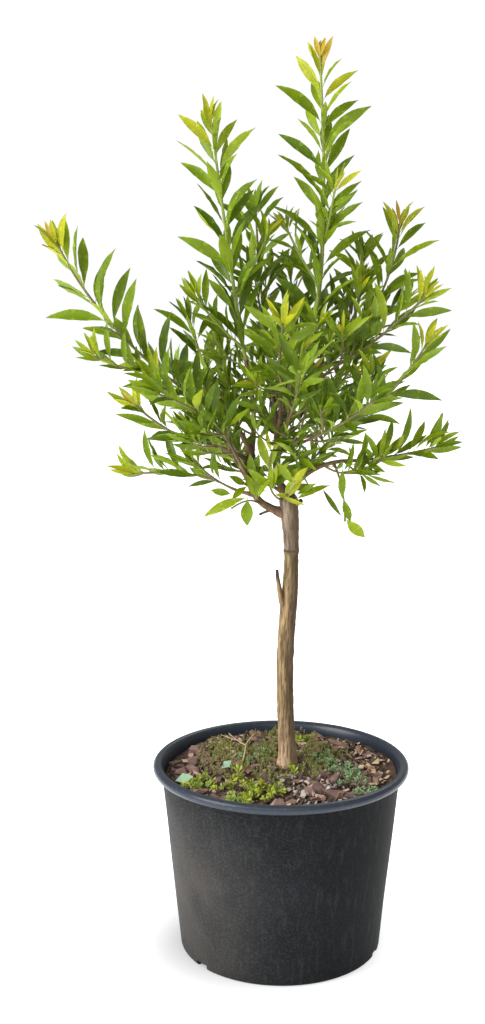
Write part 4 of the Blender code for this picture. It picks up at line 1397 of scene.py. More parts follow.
# %% Trunk and limbs: shapes
TRUNK_BURIED = 0.006
TRUNK_SIDES = 84
TRUNK_STEP = 0.0009
GRAFT_PLACE = 0.815
GRAFT_RING = 0.0007
GRAFT_RING_SPREAD = 0.010
ABOVE_GRAFT_ROUGH = 0.45
ABOVE_GRAFT_FADE = 12
COLLAR = 0.42
COLLAR_FADE = 1.6
LIMB_SIDES = 18
LIMB_ROUGH = 0.30
STUB_ROUGH = 0.4
STUB_DARK_FROM = 0.62
STUB_DARK_OVER = 0.2
THIN_LIMB_AGE = 0.9
AGE_ALONG = 0.35
THICKEST_LIMB = 0.0043
END_RINGS = ((0.45, 0.86), (0.30, 0.50 / 0.86))  # how far on, and how wide against the last one
STUBS = (  # foot, bow, tip, radius at the foot, and the tip's share of it
    ((0.0015, 0.0000, 0.3580), (-0.0006, -0.0010, -0.0060), (-0.0048, -0.0040, 0.3935), 0.0034,
     0.47),
    ((0.0080, -0.0010, 0.4560), (0.0010, -0.0010, 0.0010), (0.0185, -0.0050, 0.4640), 0.0030,
     0.80),
    ((-0.0090, -0.0020, 0.4550), (0.0000, 0.0000, 0.0008), (-0.0218, -0.0080, 0.4511), 0.0016,
     0.75),
)


def rounded_end(points, radii):
    """Closes a tube's far end with two smaller rings."""
    facing = (points[-1] - points[-2]).normalized()
    for rise, share in END_RINGS:
        points.append(points[-1] + facing * radii[-1] * rise)
        radii.append(radii[-1] * share)


def trunk_shape():
    height = TRUNK_HEAD.z - TRUNK_FOOT.z
    steps = round((height + TRUNK_BURIED) / TRUNK_STEP)
    points, radii, rough = [], [], []
    for step in range(steps + 1):
        share = (step / steps * (height + TRUNK_BURIED) - TRUNK_BURIED) / height
        ring = GRAFT_RING * math.exp(-((share - GRAFT_PLACE) / GRAFT_RING_SPREAD) ** 2)
        points.append(trunk_centre(share))
        radii.append(trunk_radius(max(0.0, share)) + ring)
        smoother = max(0.0, share - GRAFT_PLACE) * ABOVE_GRAFT_FADE
        rough.append(max(ABOVE_GRAFT_ROUGH, 1.0 - smoother))
    rounded_end(points, radii)
    rough += [rough[-1]] * len(END_RINGS)
    return Path(points, radii, rough)


def limb_shape(name):
    limb = LIMBS[name]
    points = curve(*arcs[name], FINE_STEP)
    last = len(points) - 1
    parent_radius = (trunk_radius(limb.place) if limb.parent == "trunk"
                     else LIMBS[limb.parent].radius)
    thick_share = min(1.0, limb.radius / THICKEST_LIMB)
    radii, age = [], []
    for number, point in enumerate(points):
        out = max(0.0, (point - points[0]).length - parent_radius)
        collar = 1 + COLLAR * math.exp(-(out / (limb.radius * COLLAR_FADE)) ** 2)
        radii.append(limb.radius * (1 + (bough_taper(name) - 1) * number / last) * collar)
        age.append(min(1.0, (1 - thick_share) * THIN_LIMB_AGE + AGE_ALONG * number / last))
    if limb.tip is None:
        rounded_end(points, radii)
        age += [age[-1]] * len(END_RINGS)
    return Path(points, radii, LIMB_ROUGH * thick_share, age)


def stub_shape(foot, bow, tip, radius, tip_share):
    foot, bow, tip = Vector(foot), Vector(bow), Vector(tip)
    points = curve(foot, (foot + tip) / 2 + bow, tip, FINE_STEP)
    radii = tapering(points, radius, radius * tip_share)
    rounded_end(points, radii)
    last = len(points) - 1
    dark = [min(1.0, max(0.0, (number / last - STUB_DARK_FROM) / STUB_DARK_OVER))
            for number in range(last + 1)]
    return Path(points, radii, STUB_ROUGH, 0.0, dark)

# %% [markdown]
# Bark is pinkish tan low down and golden brown higher up, with darker cracks, olive just under
# the graft and greyer above it. The limbs turn from brown to green as they get younger, which
# the attribute age carries along each of them, and a dead stub's tip is nearly black. The right
# side, away from the key lamp, is darkened as painted shade, which the attribute shade carries;
# it is weaker near the foot.

# %% Bark material
GRAFT_HEIGHT = TRUNK_FOOT.z + (TRUNK_HEAD.z - TRUNK_FOOT.z) * GRAFT_PLACE
BARK_BANDS = (  # height where it is fully there, over which distance it comes, two colours
    (GRAFT_HEIGHT - 0.16, 0.060, (162, 136, 96), (106, 86, 56)),
    (GRAFT_HEIGHT - 0.010, 0.030, (142, 126, 84), (90, 76, 48)),
    (GRAFT_HEIGHT + 0.0002, 0.0010, (84, 68, 48), (70, 56, 40)),
    (GRAFT_HEIGHT + 0.0022, 0.0008, (158, 140, 118), (88, 74, 60)),
)
FOOT_BARK = ((216, 182, 148), (166, 136, 106))
LIMB_BARK = ((128, 100, 72), (92, 70, 48))
GREEN_AGE = (0.35, 0.85)
SHADED_HEIGHT = (0.19, 0.34, 0.45, 0.98)  # from and to, and how much at each
SHADE_SIDE = (0.94, -0.20, 0.0)
CRACK_DARK = 0.62
BARK_STRETCH = 0.16
BARK_DRIFT = (240.0, 0.16)  # scale, sharpness
BARK_GRAIN = (linear(176, 150, 122), 1100.0)
BARK_GRAIN_STRENGTH = 0.16
YOUNG_BARK = (linear(122, 112, 62), linear(104, 86, 58), 90.0)
TRUNK_RELIEF = (0.0009, 0.0034, 0.060, 0.16)  # cracks: depth, spacing, length; lumps
SNAG_RELIEF = (0.0004, 0.0022, 0.018, 0.35)
LIMB_RELIEF = (0.0005, 0.0022, 0.018, 0.35)


def make_bark_material(name, foot, bands):
    """Bark in bands of colour, one above the other, each drifting between two close ones."""
    material, tree, shader, place = new_material(name, 0.88)
    upright = stretched(tree, place, BARK_STRETCH)
    up = node(tree, "ShaderNodeSeparateXYZ", {0: place}).outputs["Z"]
    age, shade, crack, dark = [
        node(tree, "ShaderNodeAttribute", attribute_name=label).outputs["Fac"]
        for label in ("age", "shade", "crack", "dark")]

    def banded(first, second):
        return drifting(tree, upright, linear(*first), linear(*second), *BARK_DRIFT)["Colour"]

    bark = banded(*foot)
    for height, over, *colours in bands:
        bark = blend(tree, ramp(tree, up, height - over, height), bark, banded(*colours))
    young = drifting(tree, place, *YOUNG_BARK)["Colour"]
    # Painted shade: the side turned away from the key lamp is darkened to a dark brown, less near
    # the foot.
    depth = ramp(tree, up, *SHADED_HEIGHT)
    for share, colour in ((ramp(tree, age, *GREEN_AGE), young),
                          (number_of(tree, "MULTIPLY", shade, depth), linear(84, 66, 44)),
                          (number_of(tree, "MULTIPLY", crack, CRACK_DARK), linear(62, 46, 32)),
                          (dark, linear(52, 38, 30))):
        bark = blend(tree, share, bark, colour)
    grain = speckled(tree, upright, bark, *BARK_GRAIN, strength=BARK_GRAIN_STRENGTH)
    tree.links.new(grain["Colour"], shader.inputs["Base Color"])
    bump(tree, shader, grain["Height"], 0.0003, 0.8)
    return material


def tubes(name, paths, finish, sides, crack_depth, crack_spacing, crack_length, lumps):
    """Runs the limb tree along some paths."""
    return run_tree(name, path_mesh(name + " paths", paths), LIMB_TREE, {
        "Sides": sides, "Crack depth": crack_depth, "Crack spacing": crack_spacing,
        "Crack length": crack_length, "Lumps": lumps, "Shade side": SHADE_SIDE,
        "Finish": finish})


TRUNK_BARK = make_bark_material("trunk bark", FOOT_BARK, BARK_BANDS)
BROWN_BARK = make_bark_material("limb bark", LIMB_BARK, ())
trunk = tubes("trunk_bark", [trunk_shape()], TRUNK_BARK, TRUNK_SIDES, *TRUNK_RELIEF)
snags = tubes("snag_bark", [stub_shape(*stub) for stub in STUBS], TRUNK_BARK, LIMB_SIDES,
              *SNAG_RELIEF)
limbs = tubes("limbs_bark", [limb_shape(name) for name in LIMBS], BROWN_BARK, LIMB_SIDES,
              *LIMB_RELIEF)
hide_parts("trunk")
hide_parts("snag")
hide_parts(*["bough_" + name for name in LIMBS])
for piece in (trunk, snags, limbs):
    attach(piece, BODY)
    print(piece.name, triangles(piece), "triangles")

# %% [markdown]
# Young shoots are smooth and a little glossy: the tall ones are a paler green than their
# leaves, and the low ones and the twigs inside the crown are browner. They use the same tree
# with no cracks, as does the dry twig that lies on the soil.

# %% Leafy stems
STEM_SIDES = 8
NO_CRACKS = (0.0, 0.01, 0.01)
GREEN_SHOOTS = TALL_SHOOTS + ("fork_spur",)
BROWN_TWIGS_BELOW = 0.60
STEM_LUMPS = 0.25
DRY_LUMPS = 0.5
STEM_GRAIN = (60.0, 1200.0, 0.0001, 0.2)  # the drift's scale; the grain's, its relief, its strength
STEM_FINISHES = {
    "green_stems": mottled("green stem", (148, 160, 68), (122, 136, 50), 0.5, *STEM_GRAIN),
    "brown_stems": mottled("brown stem", (124, 118, 66), (98, 84, 50), 0.6, *STEM_GRAIN),
}
DRY_FORK = (-0.0358, 0.0360, 0.1984)
DRY_TWIG = (  # foot, bend, end, radius at the foot
    ((-0.0427, -0.0070, 0.1840), (-0.0360, 0.0120, 0.1960), DRY_FORK, 0.0011),
    (DRY_FORK, (-0.0330, 0.0440, 0.2000), (-0.0274, 0.0500, 0.2051), 0.0008),
    (DRY_FORK, (-0.0440, 0.0420, 0.2000), (-0.0537, 0.0450, 0.2084), 0.0008),
    ((-0.0460, 0.0421, 0.2020), (-0.0500, 0.0500, 0.2000), (-0.0620, 0.0560, 0.2030), 0.0006),
)
DRY_TWIG_STEP = 0.003
DRY_TWIG_TAPER = 0.6


def is_brown(stem):
    inside = stem.order > 0 and stem.points[0].z < BROWN_TWIGS_BELOW
    return stem.limb not in GREEN_SHOOTS or inside


dry_paths = []
for *corners, radius in DRY_TWIG:
    points = curve(*[Vector(corner) for corner in corners], DRY_TWIG_STEP)
    dry_paths.append(Path(points, tapering(points, radius, radius * DRY_TWIG_TAPER)))
piece = tubes("dry_twig", dry_paths, STRAW, STEM_SIDES, *NO_CRACKS, DRY_LUMPS)
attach(piece, BODY)

for name, finish in STEM_FINISHES.items():
    paths = [Path(stem.points, stem.radii, 0.0, 1.0) for stem in stems
             if is_brown(stem) == (name == "brown_stems")]
    piece = tubes(name, paths, finish, STEM_SIDES, *NO_CRACKS, STEM_LUMPS)
    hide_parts(*["leaves_" + name for name in SHOOTS])
    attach(piece, BODY)
    print(name, triangles(piece), "triangles")

# %% [markdown]
# A leaf is a narrow blade with a long wedge for a foot, widest about its middle and pointed at
# its tip, folded along its midrib. It comes more than a thousand times, so it has about forty
# faces: four round its section, top and underside, left and right. Its outline is the product
# of two powers, one for each end. On an upright shoot a leaf turns its face to the light and
# bends away from the stem: some forms bend back, others bend to the left or to the right. The
# midrib and the stalk are one thin rod through the blade. The faces of the underside are marked,
# because they get a paler finish of their own.

# %% Leaf forms
LEAF_WIDTH = 0.186
PETIOLE = 0.09
LEAF_THICK = 0.0085
LEAF_ROWS = 10
LEAF_BELLY = 0.52
FOOT_POWER = 1.25
TIP_POWER = FOOT_POWER * (1 - LEAF_BELLY) / LEAF_BELLY
RIB_STEPS = 7
RIB_END = 0.95
RIB_RADIUS = 0.0080
RIB_THINNING = 0.72
RIB_HEIGHT = 1.15
RIPPLE_TURN = 2.3
LEAF_SHARP = 75
RIB_SHARP = 80
LeafForm = namedtuple("LeafForm", "arch bend twist fold wave")
BACK_FORMS = (
    LeafForm(0.16, 0.00, 0.30, 0.42, 0.006), LeafForm(0.26, 0.03, -0.40, 0.50, 0.009),
    LeafForm(0.10, -0.04, 0.45, 0.34, 0.008), LeafForm(0.34, 0.00, 0.20, 0.56, 0.006),
)
SIDE_FORMS = (
    LeafForm(0.06, 0.26, 0.35, 0.40, 0.008), LeafForm(0.12, 0.17, -0.30, 0.50, 0.009),
    LeafForm(0.02, 0.32, 0.20, 0.36, 0.008), LeafForm(0.16, 0.22, 0.50, 0.54, 0.010),
)
LEAF_FORMS = (BACK_FORMS + SIDE_FORMS
              + tuple(form._replace(bend=-form.bend, twist=-form.twist) for form in SIDE_FORMS))


def leaf_half_width(share):
    """Half the blade's width in leaf lengths: a power rises from the foot, one falls to the tip."""
    share = (share - PETIOLE) / (1 - PETIOLE)
    rise = (share / LEAF_BELLY) ** FOOT_POWER
    fall = ((1 - share) / (1 - LEAF_BELLY)) ** TIP_POWER
    return LEAF_WIDTH / 2 * rise * fall


def leaf_line(form, share):
    """The blade's middle line: it leaves along +X, and bends back from +Z and towards +Y."""
    return Vector((share, form.bend * share ** 2, -form.arch * share ** 2))


def leaf_frame(form, share):
    """The blade's own sideways and upward directions, square to its line and twisting on."""
    way = Vector((1, form.bend * 2 * share, -form.arch * 2 * share)).normalized()
    side = Vector((0, 0, 1)).cross(way).normalized()
    up = way.cross(side)
    angle = form.twist * share
    return (side * math.cos(angle) + up * math.sin(angle),
            up * math.cos(angle) - side * math.sin(angle))


def closed_mesh(name, vertices, faces, smooth_angle):
    shape = bmesh.new()
    mesh = plain_mesh(name, vertices, faces=faces)
    shape.from_mesh(mesh)
    bpy.data.meshes.remove(mesh)
    return mesh_from(shape, name, smooth_angle)


def leaf_mesh(form):
    vertices = [leaf_line(form, PETIOLE)]
    for row in range(1, LEAF_ROWS):
        share = PETIOLE + (1 - PETIOLE) * row / LEAF_ROWS
        middle = leaf_line(form, share)
        side, up = leaf_frame(form, share)
        half = leaf_half_width(share)
        fold = up * half * form.fold
        ripple = up * form.wave * math.sin(row * RIPPLE_TURN)
        thick = up * LEAF_THICK / 2
        vertices += [middle - side * half + fold + ripple, middle + thick,
                     middle + side * half + fold - ripple, middle - thick]
    vertices.append(leaf_line(form, 1))
    faces = []
    last = len(vertices) - 1
    for side in range(4):
        after = (side + 1) % 4
        faces.append((0, 1 + after, 1 + side))
        for row in range(LEAF_ROWS - 2):
            low = 1 + row * 4
            faces.append((low + side, low + after, low + 4 + after, low + 4 + side))
        faces.append((last - 4 + side, last - 4 + after, last))
    mesh = closed_mesh("leaf", vertices, faces, LEAF_SHARP)
    below = mesh.attributes.new("underside", "BOOLEAN", "FACE")
    below.data.foreach_set("value", [number >= 2 * LEAF_ROWS for number in range(len(faces))])
    return mesh


def rib_mesh(form):
    """The stalk and midrib: a three-sided rod that thins out towards the leaf's tip."""
    vertices = []
    for step in range(RIB_STEPS + 1):
        share = RIB_END * step / RIB_STEPS
        middle = leaf_line(form, share)
        side, up = leaf_frame(form, share)
        radius = RIB_RADIUS * (1.0 - RIB_THINNING * step / RIB_STEPS)
        for corner in range(3):
            angle = math.pi / 2 + 2 * math.pi * corner / 3
            vertices.append(middle + side * math.cos(angle) * radius
                            + up * math.sin(angle) * radius * RIB_HEIGHT)
    faces = [(2, 1, 0), tuple(range(3 * RIB_STEPS, 3 * RIB_STEPS + 3))]
    for low in range(0, 3 * RIB_STEPS, 3):
        for corner in range(3):
            after = (corner + 1) % 3
            faces.append((low + corner, low + after, low + 3 + after, low + 3 + corner))
    return closed_mesh("rib", vertices, faces, RIB_SHARP)


BLADES = shape_collection("blades", [leaf_mesh(form) for form in LEAF_FORMS])
RIBS = shape_collection("ribs", [rib_mesh(form) for form in LEAF_FORMS])

# %% [markdown]
# Where the leaves stand follows the solid model's rule: on a spiral round each stem, standing
# off it low down and closing towards the tip, where a tuft of small ones ends it. They are
# longer on the longer shoots, and rise more steeply from flat shoots. A leaf's upper face looks
# along the stem, and one at the stem's side also twists to the light. The kind is its colour,
# and it goes by the spray: old leaves deep in the crown, fresh ones further out, yellow and
# bronze ones at the tips of the shoots that are growing.

# %% Leaf places
LEAF_LENGTH = 0.057
LEAF_SPACING = 0.0054
LEAF_SHORTEST_SHOOT = 0.70
LEAF_LONG_SHOOT = 0.20
LEAF_SHORT_BROAD = 0.84
LEAF_FIRST = 0.03
LEAF_LAST = 0.96
LEAF_SIZES = (0.80, 1.06)
LEAF_BREADTHS = (0.86, 1.12)
LEAF_CLOSING_FROM = 0.80
LEAF_CLOSING_POWER = 1.3
LEAF_TURN_SPREAD = 0.25
LEAF_ANGLE_SPREAD = 0.20
LEAF_OPEN_ANGLE = math.radians(40)
LEAF_CLOSED_ANGLE = math.radians(17)
LEAF_LIFT = 0.20
UPRIGHT_LEAVES = {"tall_left": math.radians(33), "right_upper": math.radians(36)}
LEAF_SMALLEST = 0.46
TIP_LEAVES = {"leader": 0.38, "tall_left": 0.42, "left_long": 0.50}
TUFT_LEAVES = 6
TUFT_SPACING = 0.0020
TWIG_LEAF_SIZE = 0.84
FLAT_SHOOT_LIFT = 2.2
FACE_LIGHT = Vector((-0.25, -0.85, 0.35))
FACE_ALONG = 0.6
FACE_UP = 0.2
FACE_ASIDE = 1.3
FACE_AT_TIP = 0.9
FACE_SPREAD = 0.26
SIDE_BEND_FROM = 0.35
CROWD_RATIO = 0.42
LIMB_CLEAR = 0.0035
LEAF_TESTED = (0.35, 0.6, 0.85, 1.0)
REACH_SPARE = 0.0004
TRUNK_TESTED = 60
LIMB_TESTED_STEP = 0.004
CROWN_FLOOR = SOIL_TOP + 0.1
CROWN_MIDDLE = Vector((0.0, 0.0, 0.58))
CROWN_REACH = 0.20
TIP_KINDS = {"leader": "bronze", "tall_left": "young", "left_long": "bronze",
             "right_upper": "bronze", "right_mid": "young", "right_reach": "young",
             "front_top": "young", "left_low": "fresh", "left_mid": "bronze"}
FRESHNESS = {"front_top": 0.42, "fork_spur": 0.50, "left_low": 0.25, "right_low": 0.28,
             "right_mid": 0.22, "right_reach": 0.18, "left_mid": 0.22, "hanging": 0.30,
             "left_spur": 0.40, "leader": 0.10, "tall_left": 0.12, "left_long": 0.08,
             "right_upper": 0.15}
FRESH_ALONG = 0.45
FRESH_OUTWARDS = 0.40
FRESH_SPREAD = 0.20
TIP_KIND_FROM = 0.92
TIP_KIND_SHARE = 0.45
YOUNG_FROM = 0.84
YOUNG_SHARE = 0.35
FRESH_KINDS = ((1.25, "young", 0.15, "fresh"), (0.90, "fresh", 0.35, "green"))
GREEN_FROM = 0.52
KINDS = ("mature", "green", "fresh", "young", "bronze")
Leaf = namedtuple("Leaf", "root along facing length broad form kind")


def kind_of(stem, share, place, chance):
    """The leaf's colour by its spray and by how far out it stands."""
    far_out = (place - CROWN_MIDDLE).length / CROWN_REACH
    freshness = FRESH_ALONG * share + FRESH_OUTWARDS * far_out + FRESHNESS.get(stem.limb, 0.0)
    freshness += chance.gauss(0, FRESH_SPREAD)
    tip_kind = TIP_KINDS.get(stem.limb)
    if stem.order == 0 and tip_kind and share > TIP_KIND_FROM:
        return tip_kind if chance.random() < TIP_KIND_SHARE else "young"
    if tip_kind and share > YOUNG_FROM:
        return "young" if chance.random() < YOUNG_SHARE else "fresh"
    for limit, rare, rare_share, usual in FRESH_KINDS:
        if freshness > limit:
            return rare if chance.random() < rare_share else usual
    return "green" if freshness > GREEN_FROM else "mature"


def form_for(along, facing, stem_way, chance):
    """A form that bends away from the stem: sideways where the leaf's face is turned aside."""
    towards_stem = facing.cross(along).normalized().dot(stem_way)
    if abs(towards_stem) < SIDE_BEND_FROM:
        return chance.randrange(len(BACK_FORMS))
    first = len(BACK_FORMS) + (0 if towards_stem < 0 else len(SIDE_FORMS))
    return first + chance.randrange(len(SIDE_FORMS))


def scattered(chance, spread):
    return Vector([chance.gauss(0, spread) for _ in range(3)])


def leaves_on(stem, chance):
    length = length_of(stem.points)
    count = max(3, round((LEAF_LAST - LEAF_FIRST) * length / LEAF_SPACING))
    shares = [LEAF_FIRST + (LEAF_LAST - LEAF_FIRST) * n / count for n in range(count)]
    shares += [1 - (TUFT_LEAVES - n) * TUFT_SPACING / length for n in range(TUFT_LEAVES)]
    first_angle = chance.uniform(0, 2 * math.pi)
    long_shoot = min(1.0, length / LEAF_LONG_SHOOT)
    longest = LEAF_LENGTH * (LEAF_SHORTEST_SHOOT + (1 - LEAF_SHORTEST_SHOOT) * long_shoot)
    usual_broad = LEAF_SHORT_BROAD + (1 - LEAF_SHORT_BROAD) * long_shoot
    open_angle = UPRIGHT_LEAVES.get(stem.limb, LEAF_OPEN_ANGLE)
    smallest = TIP_LEAVES.get(stem.limb, LEAF_SMALLEST)
    for number, share in enumerate(shares):
        stem_way = way_at(stem.points, share)
        turn = first_angle + SPIRAL * number + chance.uniform(-LEAF_TURN_SPREAD, LEAF_TURN_SPREAD)
        spoke = spoke_at(stem_way, turn)
        closing = max(0.0, share - LEAF_CLOSING_FROM) / (1 - LEAF_CLOSING_FROM)
        angle = open_angle + (LEAF_CLOSED_ANGLE - open_angle) * closing
        angle += chance.uniform(-LEAF_ANGLE_SPREAD, LEAF_ANGLE_SPREAD)
        along = stem_way * math.cos(angle) + spoke * math.sin(angle)
        lift = LEAF_LIFT * (1 + FLAT_SHOOT_LIFT * (1 - abs(stem_way.z)))
        along = (along + Vector((0, 0, lift))).normalized()
        size = longest * (1 - (1 - smallest) * closing ** LEAF_CLOSING_POWER)
        size *= chance.uniform(*LEAF_SIZES) * (1.0 if stem.order == 0 else TWIG_LEAF_SIZE)
        aside = spoke.cross(stem_way)
        facing = stem_way * FACE_ALONG + Vector((0, 0, FACE_UP))
        facing += aside * aside.dot(FACE_LIGHT) * FACE_ASIDE
        facing += FACE_LIGHT * closing * FACE_AT_TIP
        facing += scattered(chance, FACE_SPREAD)
        form = form_for(along, facing, stem_way, chance)
        root = place_on(stem.points, share)
        kind = kind_of(stem, share, root + along * size, chance)
        broad = chance.uniform(*LEAF_BREADTHS) * usual_broad
        yield Leaf(root, along, facing, size, broad, form, kind)


def tree_of(points):
    found = KDTree(len(points))
    for number, point in enumerate(points):
        found.insert(point, number)
    found.balance()
    return found


def leaf_tip(leaf):
    """Where the blade's bent tip lies."""
    side = leaf.facing.cross(leaf.along).normalized()
    up = leaf.along.cross(side)
    form = LEAF_FORMS[leaf.form]
    return leaf.root + (leaf.along + side * form.bend * leaf.broad - up * form.arch) * leaf.length


def fits(leaf, own_points, other_points, limb_points):
    """A leaf stays in its own shoot's space, above the pot, inside the crown, and off the limbs."""
    tip = leaf_tip(leaf)
    if tip.z < CROWN_FLOOR:
        return False
    if any(not low + REACH_SPARE <= part <= high - REACH_SPARE
           for part, low, high in zip(tip, cad_low, cad_high)):
        return False
    if other_points.find(tip)[2] < CROWD_RATIO * own_points.find(tip)[2]:
        return False
    for share in LEAF_TESTED:
        if limb_points.find(leaf.root + leaf.along * leaf.length * share)[2] < LIMB_CLEAR:
            return False
    return True


limb_spots = [trunk_centre(step / TRUNK_TESTED) for step in range(TRUNK_TESTED + 1)]
for ends in arcs.values():
    limb_spots += curve(*ends, LIMB_TESTED_STEP)
limb_points = tree_of(limb_spots)
leaves = []
tried = 0
for name in LIMBS:
    own_stems = [stem for stem in stems if stem.limb == name]
    if not own_stems or name in HAND_LEAVED:
        continue
    own_points = tree_of([point for stem in own_stems for point in stem.points])
    other_points = tree_of([point for stem in stems if stem.limb != name
                            for point in stem.points])
    for stem in own_stems:
        for leaf in leaves_on(stem, chance):
            tried += 1
            if fits(leaf, own_points, other_points, limb_points):
                leaves.append(leaf)
print("leaves on the spiral:", len(leaves), "of", tried)

# %% [markdown]
# The leaves under the fork are few and hang singly, so the rule gives way to a short list there,
# with each leaf's root and tip. A loose ring of short leaves also stands round the trunk's head,
# from the buds there.

# %% Single leaves under the fork
SINGLE_LEAVES = (  # root, tip, width against an ordinary leaf's, kind
    ((0.058, -0.017, 0.500), (0.059, -0.023, 0.469), 0.95, "green"),
    ((0.059, -0.018, 0.470), (0.064, -0.026, 0.447), 0.90, "green"),
    ((0.060, -0.019, 0.448), (0.038, -0.016, 0.476), 0.55, "mature"),
    ((0.061, -0.020, 0.450), (0.077, -0.028, 0.430), 1.25, "fresh"),
    ((-0.034, -0.017, 0.469), (-0.035, -0.029, 0.446), 1.35, "green"),
    ((-0.032, -0.018, 0.470), (-0.077, -0.030, 0.461), 1.10, "fresh"),
    ((-0.049, -0.020, 0.473), (-0.067, -0.030, 0.480), 0.85, "green"),
    ((-0.026, -0.012, 0.468), (-0.032, -0.026, 0.489), 0.95, "fresh"),
    ((0.011, -0.017, 0.467), (0.041, -0.034, 0.485), 0.85, "fresh"),
    ((0.005, -0.018, 0.470), (-0.004, -0.030, 0.476), 0.50, "young"),
    ((0.005, -0.018, 0.469), (0.016, -0.034, 0.489), 0.70, "young"),
    ((-0.001, -0.010, 0.469), (0.016, -0.030, 0.466), 0.50, "young"),
    ((0.012, -0.014, 0.470), (0.030, -0.030, 0.487), 0.60, "green"),
    ((0.022, -0.010, 0.486), (0.018, -0.022, 0.511), 1.15, "mature"),
    ((-0.009, -0.015, 0.479), (0.005, -0.028, 0.499), 1.05, "mature"),
    ((-0.014, -0.018, 0.478), (-0.028, -0.034, 0.499), 0.98, "fresh"),
    ((-0.014, -0.019, 0.485), (0.004, -0.038, 0.508), 0.72, "fresh"),
    ((-0.013, -0.027, 0.497), (-0.022, -0.036, 0.532), 1.00, "fresh"),
    ((-0.026, -0.013, 0.467), (-0.021, -0.032, 0.496), 0.95, "green"),
    ((-0.025, -0.013, 0.467), (-0.017, -0.034, 0.488), 0.80, "fresh"),
    ((-0.028, -0.010, 0.486), (-0.033, -0.030, 0.507), 0.95, "green"),
    ((-0.010, -0.015, 0.475), (-0.015, -0.036, 0.498), 0.70, "fresh"),
    ((-0.010, -0.015, 0.475), (-0.009, -0.036, 0.502), 0.80, "fresh"),
    ((0.001, -0.012, 0.470), (0.012, -0.036, 0.490), 0.80, "fresh"),
    ((-0.005, 0.000, 0.497), (0.021, -0.020, 0.515), 0.85, "mature"),
    ((-0.004, 0.000, 0.488), (0.012, -0.020, 0.504), 0.80, "green"),
    ((-0.034, -0.001, 0.479), (-0.051, -0.020, 0.489), 0.80, "green"),
    ((-0.034, -0.001, 0.478), (-0.049, -0.022, 0.474), 0.80, "fresh"),
    ((-0.030, -0.010, 0.485), (-0.025, -0.026, 0.512), 0.90, "green"),
    ((-0.031, -0.011, 0.488), (-0.044, -0.024, 0.508), 0.85, "green"),
    ((-0.014, -0.025, 0.496), (-0.008, -0.040, 0.526), 0.70, "fresh"),
    ((-0.011, -0.034, 0.515), (-0.016, -0.039, 0.535), 0.55, "young"),
    ((-0.011, -0.034, 0.515), (-0.003, -0.040, 0.533), 0.55, "young"),
    ((0.008, -0.040, 0.484), (0.018, -0.064, 0.502), 0.85, "young"),
    ((0.009, -0.052, 0.489), (-0.002, -0.076, 0.506), 0.85, "fresh"),
)
RING_LEAVES = 15
RING_CENTRE = Vector((-0.004, 0.0, 0.472))
RING_RADIUS = 0.010
RING_RISE = 0.0018
RING_START = 3.4
RING_REACH = (0.020, 0.034)
RING_UP = (0.002, 0.024)
RING_BROAD = 0.75
RING_KINDS = ("fresh", "green", "mature")
SINGLE_BROAD = 0.85
SINGLE_SPREAD = 0.2


def single_leaf(root, reach, broad, kind):
    facing = FACE_LIGHT + scattered(chance, SINGLE_SPREAD)
    return Leaf(root, reach.normalized(), facing, reach.length,
                broad * LEAF_LENGTH / reach.length * SINGLE_BROAD,
                chance.randrange(len(BACK_FORMS)), kind)


for root, tip, broad, kind in SINGLE_LEAVES:
    leaves.append(single_leaf(Vector(root), Vector(tip) - Vector(root), broad, kind))
for number in range(RING_LEAVES):
    outward = outwards(number * SPIRAL + RING_START)
    root = RING_CENTRE + outward * RING_RADIUS + Vector((0, 0, RING_RISE * number))
    reach = outward * chance.uniform(*RING_REACH) + Vector((0, 0, chance.uniform(*RING_UP)))
    kind = RING_KINDS[number % len(RING_KINDS)]
    leaves.append(single_leaf(root, reach, RING_BROAD, kind))
print("leaves in all:", len(leaves))
print({kind: sum(leaf.kind == kind for leaf in leaves) for kind in KINDS})

# %% [markdown]
# The leaves' places become a mesh of loose points with attributes, one mesh for each kind, and
# a second small tree puts a blade on each point. Two directions fix a leaf's turn: the one it
# points along and the one its upper face looks to. The same points carry the midribs.

# %% Leaf tree
def make_leaf_tree():
    tree, given, out = new_tree("leaves on points", {
        "Forms": "Collection", "Finish": "Material", "Underside": "Material"})
    along, facing = [read(tree, label, "FLOAT_VECTOR") for label in ("along", "facing")]
    length, broad = [read(tree, label) for label in ("length", "broad")]
    turn = node(tree, "FunctionNodeAxesToRotation",
                {"Primary Axis": along, "Secondary Axis": facing},
                primary_axis="X", secondary_axis="Z")
    points = node(tree, "GeometryNodeMeshToPoints", {"Mesh": given["Geometry"]})
    copies = node(tree, "GeometryNodeInstanceOnPoints",
                  {"Points": points.outputs[0], "Instance": shapes_in(tree, given["Forms"]),
                   "Pick Instance": True, "Instance Index": read(tree, "form", "INT"),
                   "Rotation": turn.outputs[0],
                   "Scale": vector(tree, length, number_of(tree, "MULTIPLY", length, broad),
                                   length)})
    return end_tree(tree, out, copies.outputs[0], (True, given["Finish"]),
                    (read(tree, "underside", "BOOLEAN"), given["Underside"]))


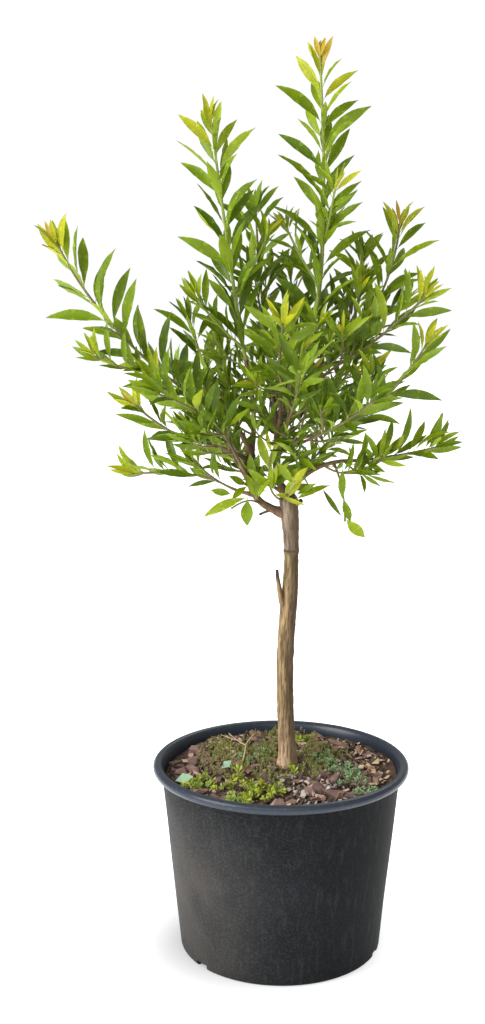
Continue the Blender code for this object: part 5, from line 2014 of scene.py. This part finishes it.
def leaf_points(name, chosen):
    mesh = plain_mesh(name, [leaf.root for leaf in chosen])
    for label in ("along", "facing"):
        mesh.attributes.new(label, "FLOAT_VECTOR", "POINT").data.foreach_set(
            "vector", [part for leaf in chosen for part in getattr(leaf, label)])
    for label, kind in (("length", "FLOAT"), ("broad", "FLOAT"), ("form", "INT")):
        mesh.attributes.new(label, kind, "POINT").data.foreach_set(
            "value", [getattr(leaf, label) for leaf in chosen])
    return mesh


LEAF_TREE = make_leaf_tree()
print("leaf tree:", len(LEAF_TREE.nodes), "nodes")

# %% [markdown]
# A leaf's upper face is a rich green with a waxy shine, and its underside is paler and matt.
# Each kind is a material of its own with two close greens, and one more for its underside.

# %% Leaf materials and pieces
LEAF_COLOURS = {  # two greens of the upper face, and the underside's
    "mature": ((89, 113, 8), (68, 92, 6), (122, 143, 48)),
    "green": ((117, 140, 10), (93, 118, 8), (142, 160, 58)),
    "fresh": ((139, 156, 14), (114, 136, 10), (160, 172, 64)),
    "young": ((165, 165, 22), (144, 152, 18), (180, 182, 70)),
    "bronze": ((176, 150, 32), (152, 130, 28), (180, 162, 62)),
}
LEAF_GRAIN = (60.0, 900.0, 0.00004, 0.12)
RIB_GREEN = mottled("midrib green", (170, 192, 92), (150, 176, 78), 0.5, 90.0, 1200.0, 0.0)
for kind in KINDS:
    chosen = [leaf for leaf in leaves if leaf.kind == kind]
    light, dark, pale = LEAF_COLOURS[kind]
    finish = mottled(kind + " leaf", light, dark, 0.38, *LEAF_GRAIN, Specular_IOR_Level=0.24)
    under = mottled(kind + " underside", pale, light, 0.70, *LEAF_GRAIN,
                    Specular_IOR_Level=0.10)
    piece = run_tree("leaves_" + kind + "_spray", leaf_points(kind, chosen), LEAF_TREE,
                     {"Forms": BLADES, "Finish": finish, "Underside": under})
    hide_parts(*["leaves_" + name for name in SHOOTS])
    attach(piece, BODY)
    print(piece.name, len(chosen), "leaves,", triangles(piece), "triangles")
ribs = run_tree("leaf_midribs", leaf_points("midribs", leaves), LEAF_TREE,
                {"Forms": RIBS, "Finish": RIB_GREEN, "Underside": RIB_GREEN})
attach(ribs, BODY)
print("midribs:", triangles(ribs), "triangles")

# %% [markdown]
# Last, the sizes: the box of the solids is printed. The box of what shows should be the same
# to within a few millimetres.

# %% Sizes
bpy.context.view_layer.update()
print("box of the solids:", [round(part, 4) for part in cad_low + cad_high])
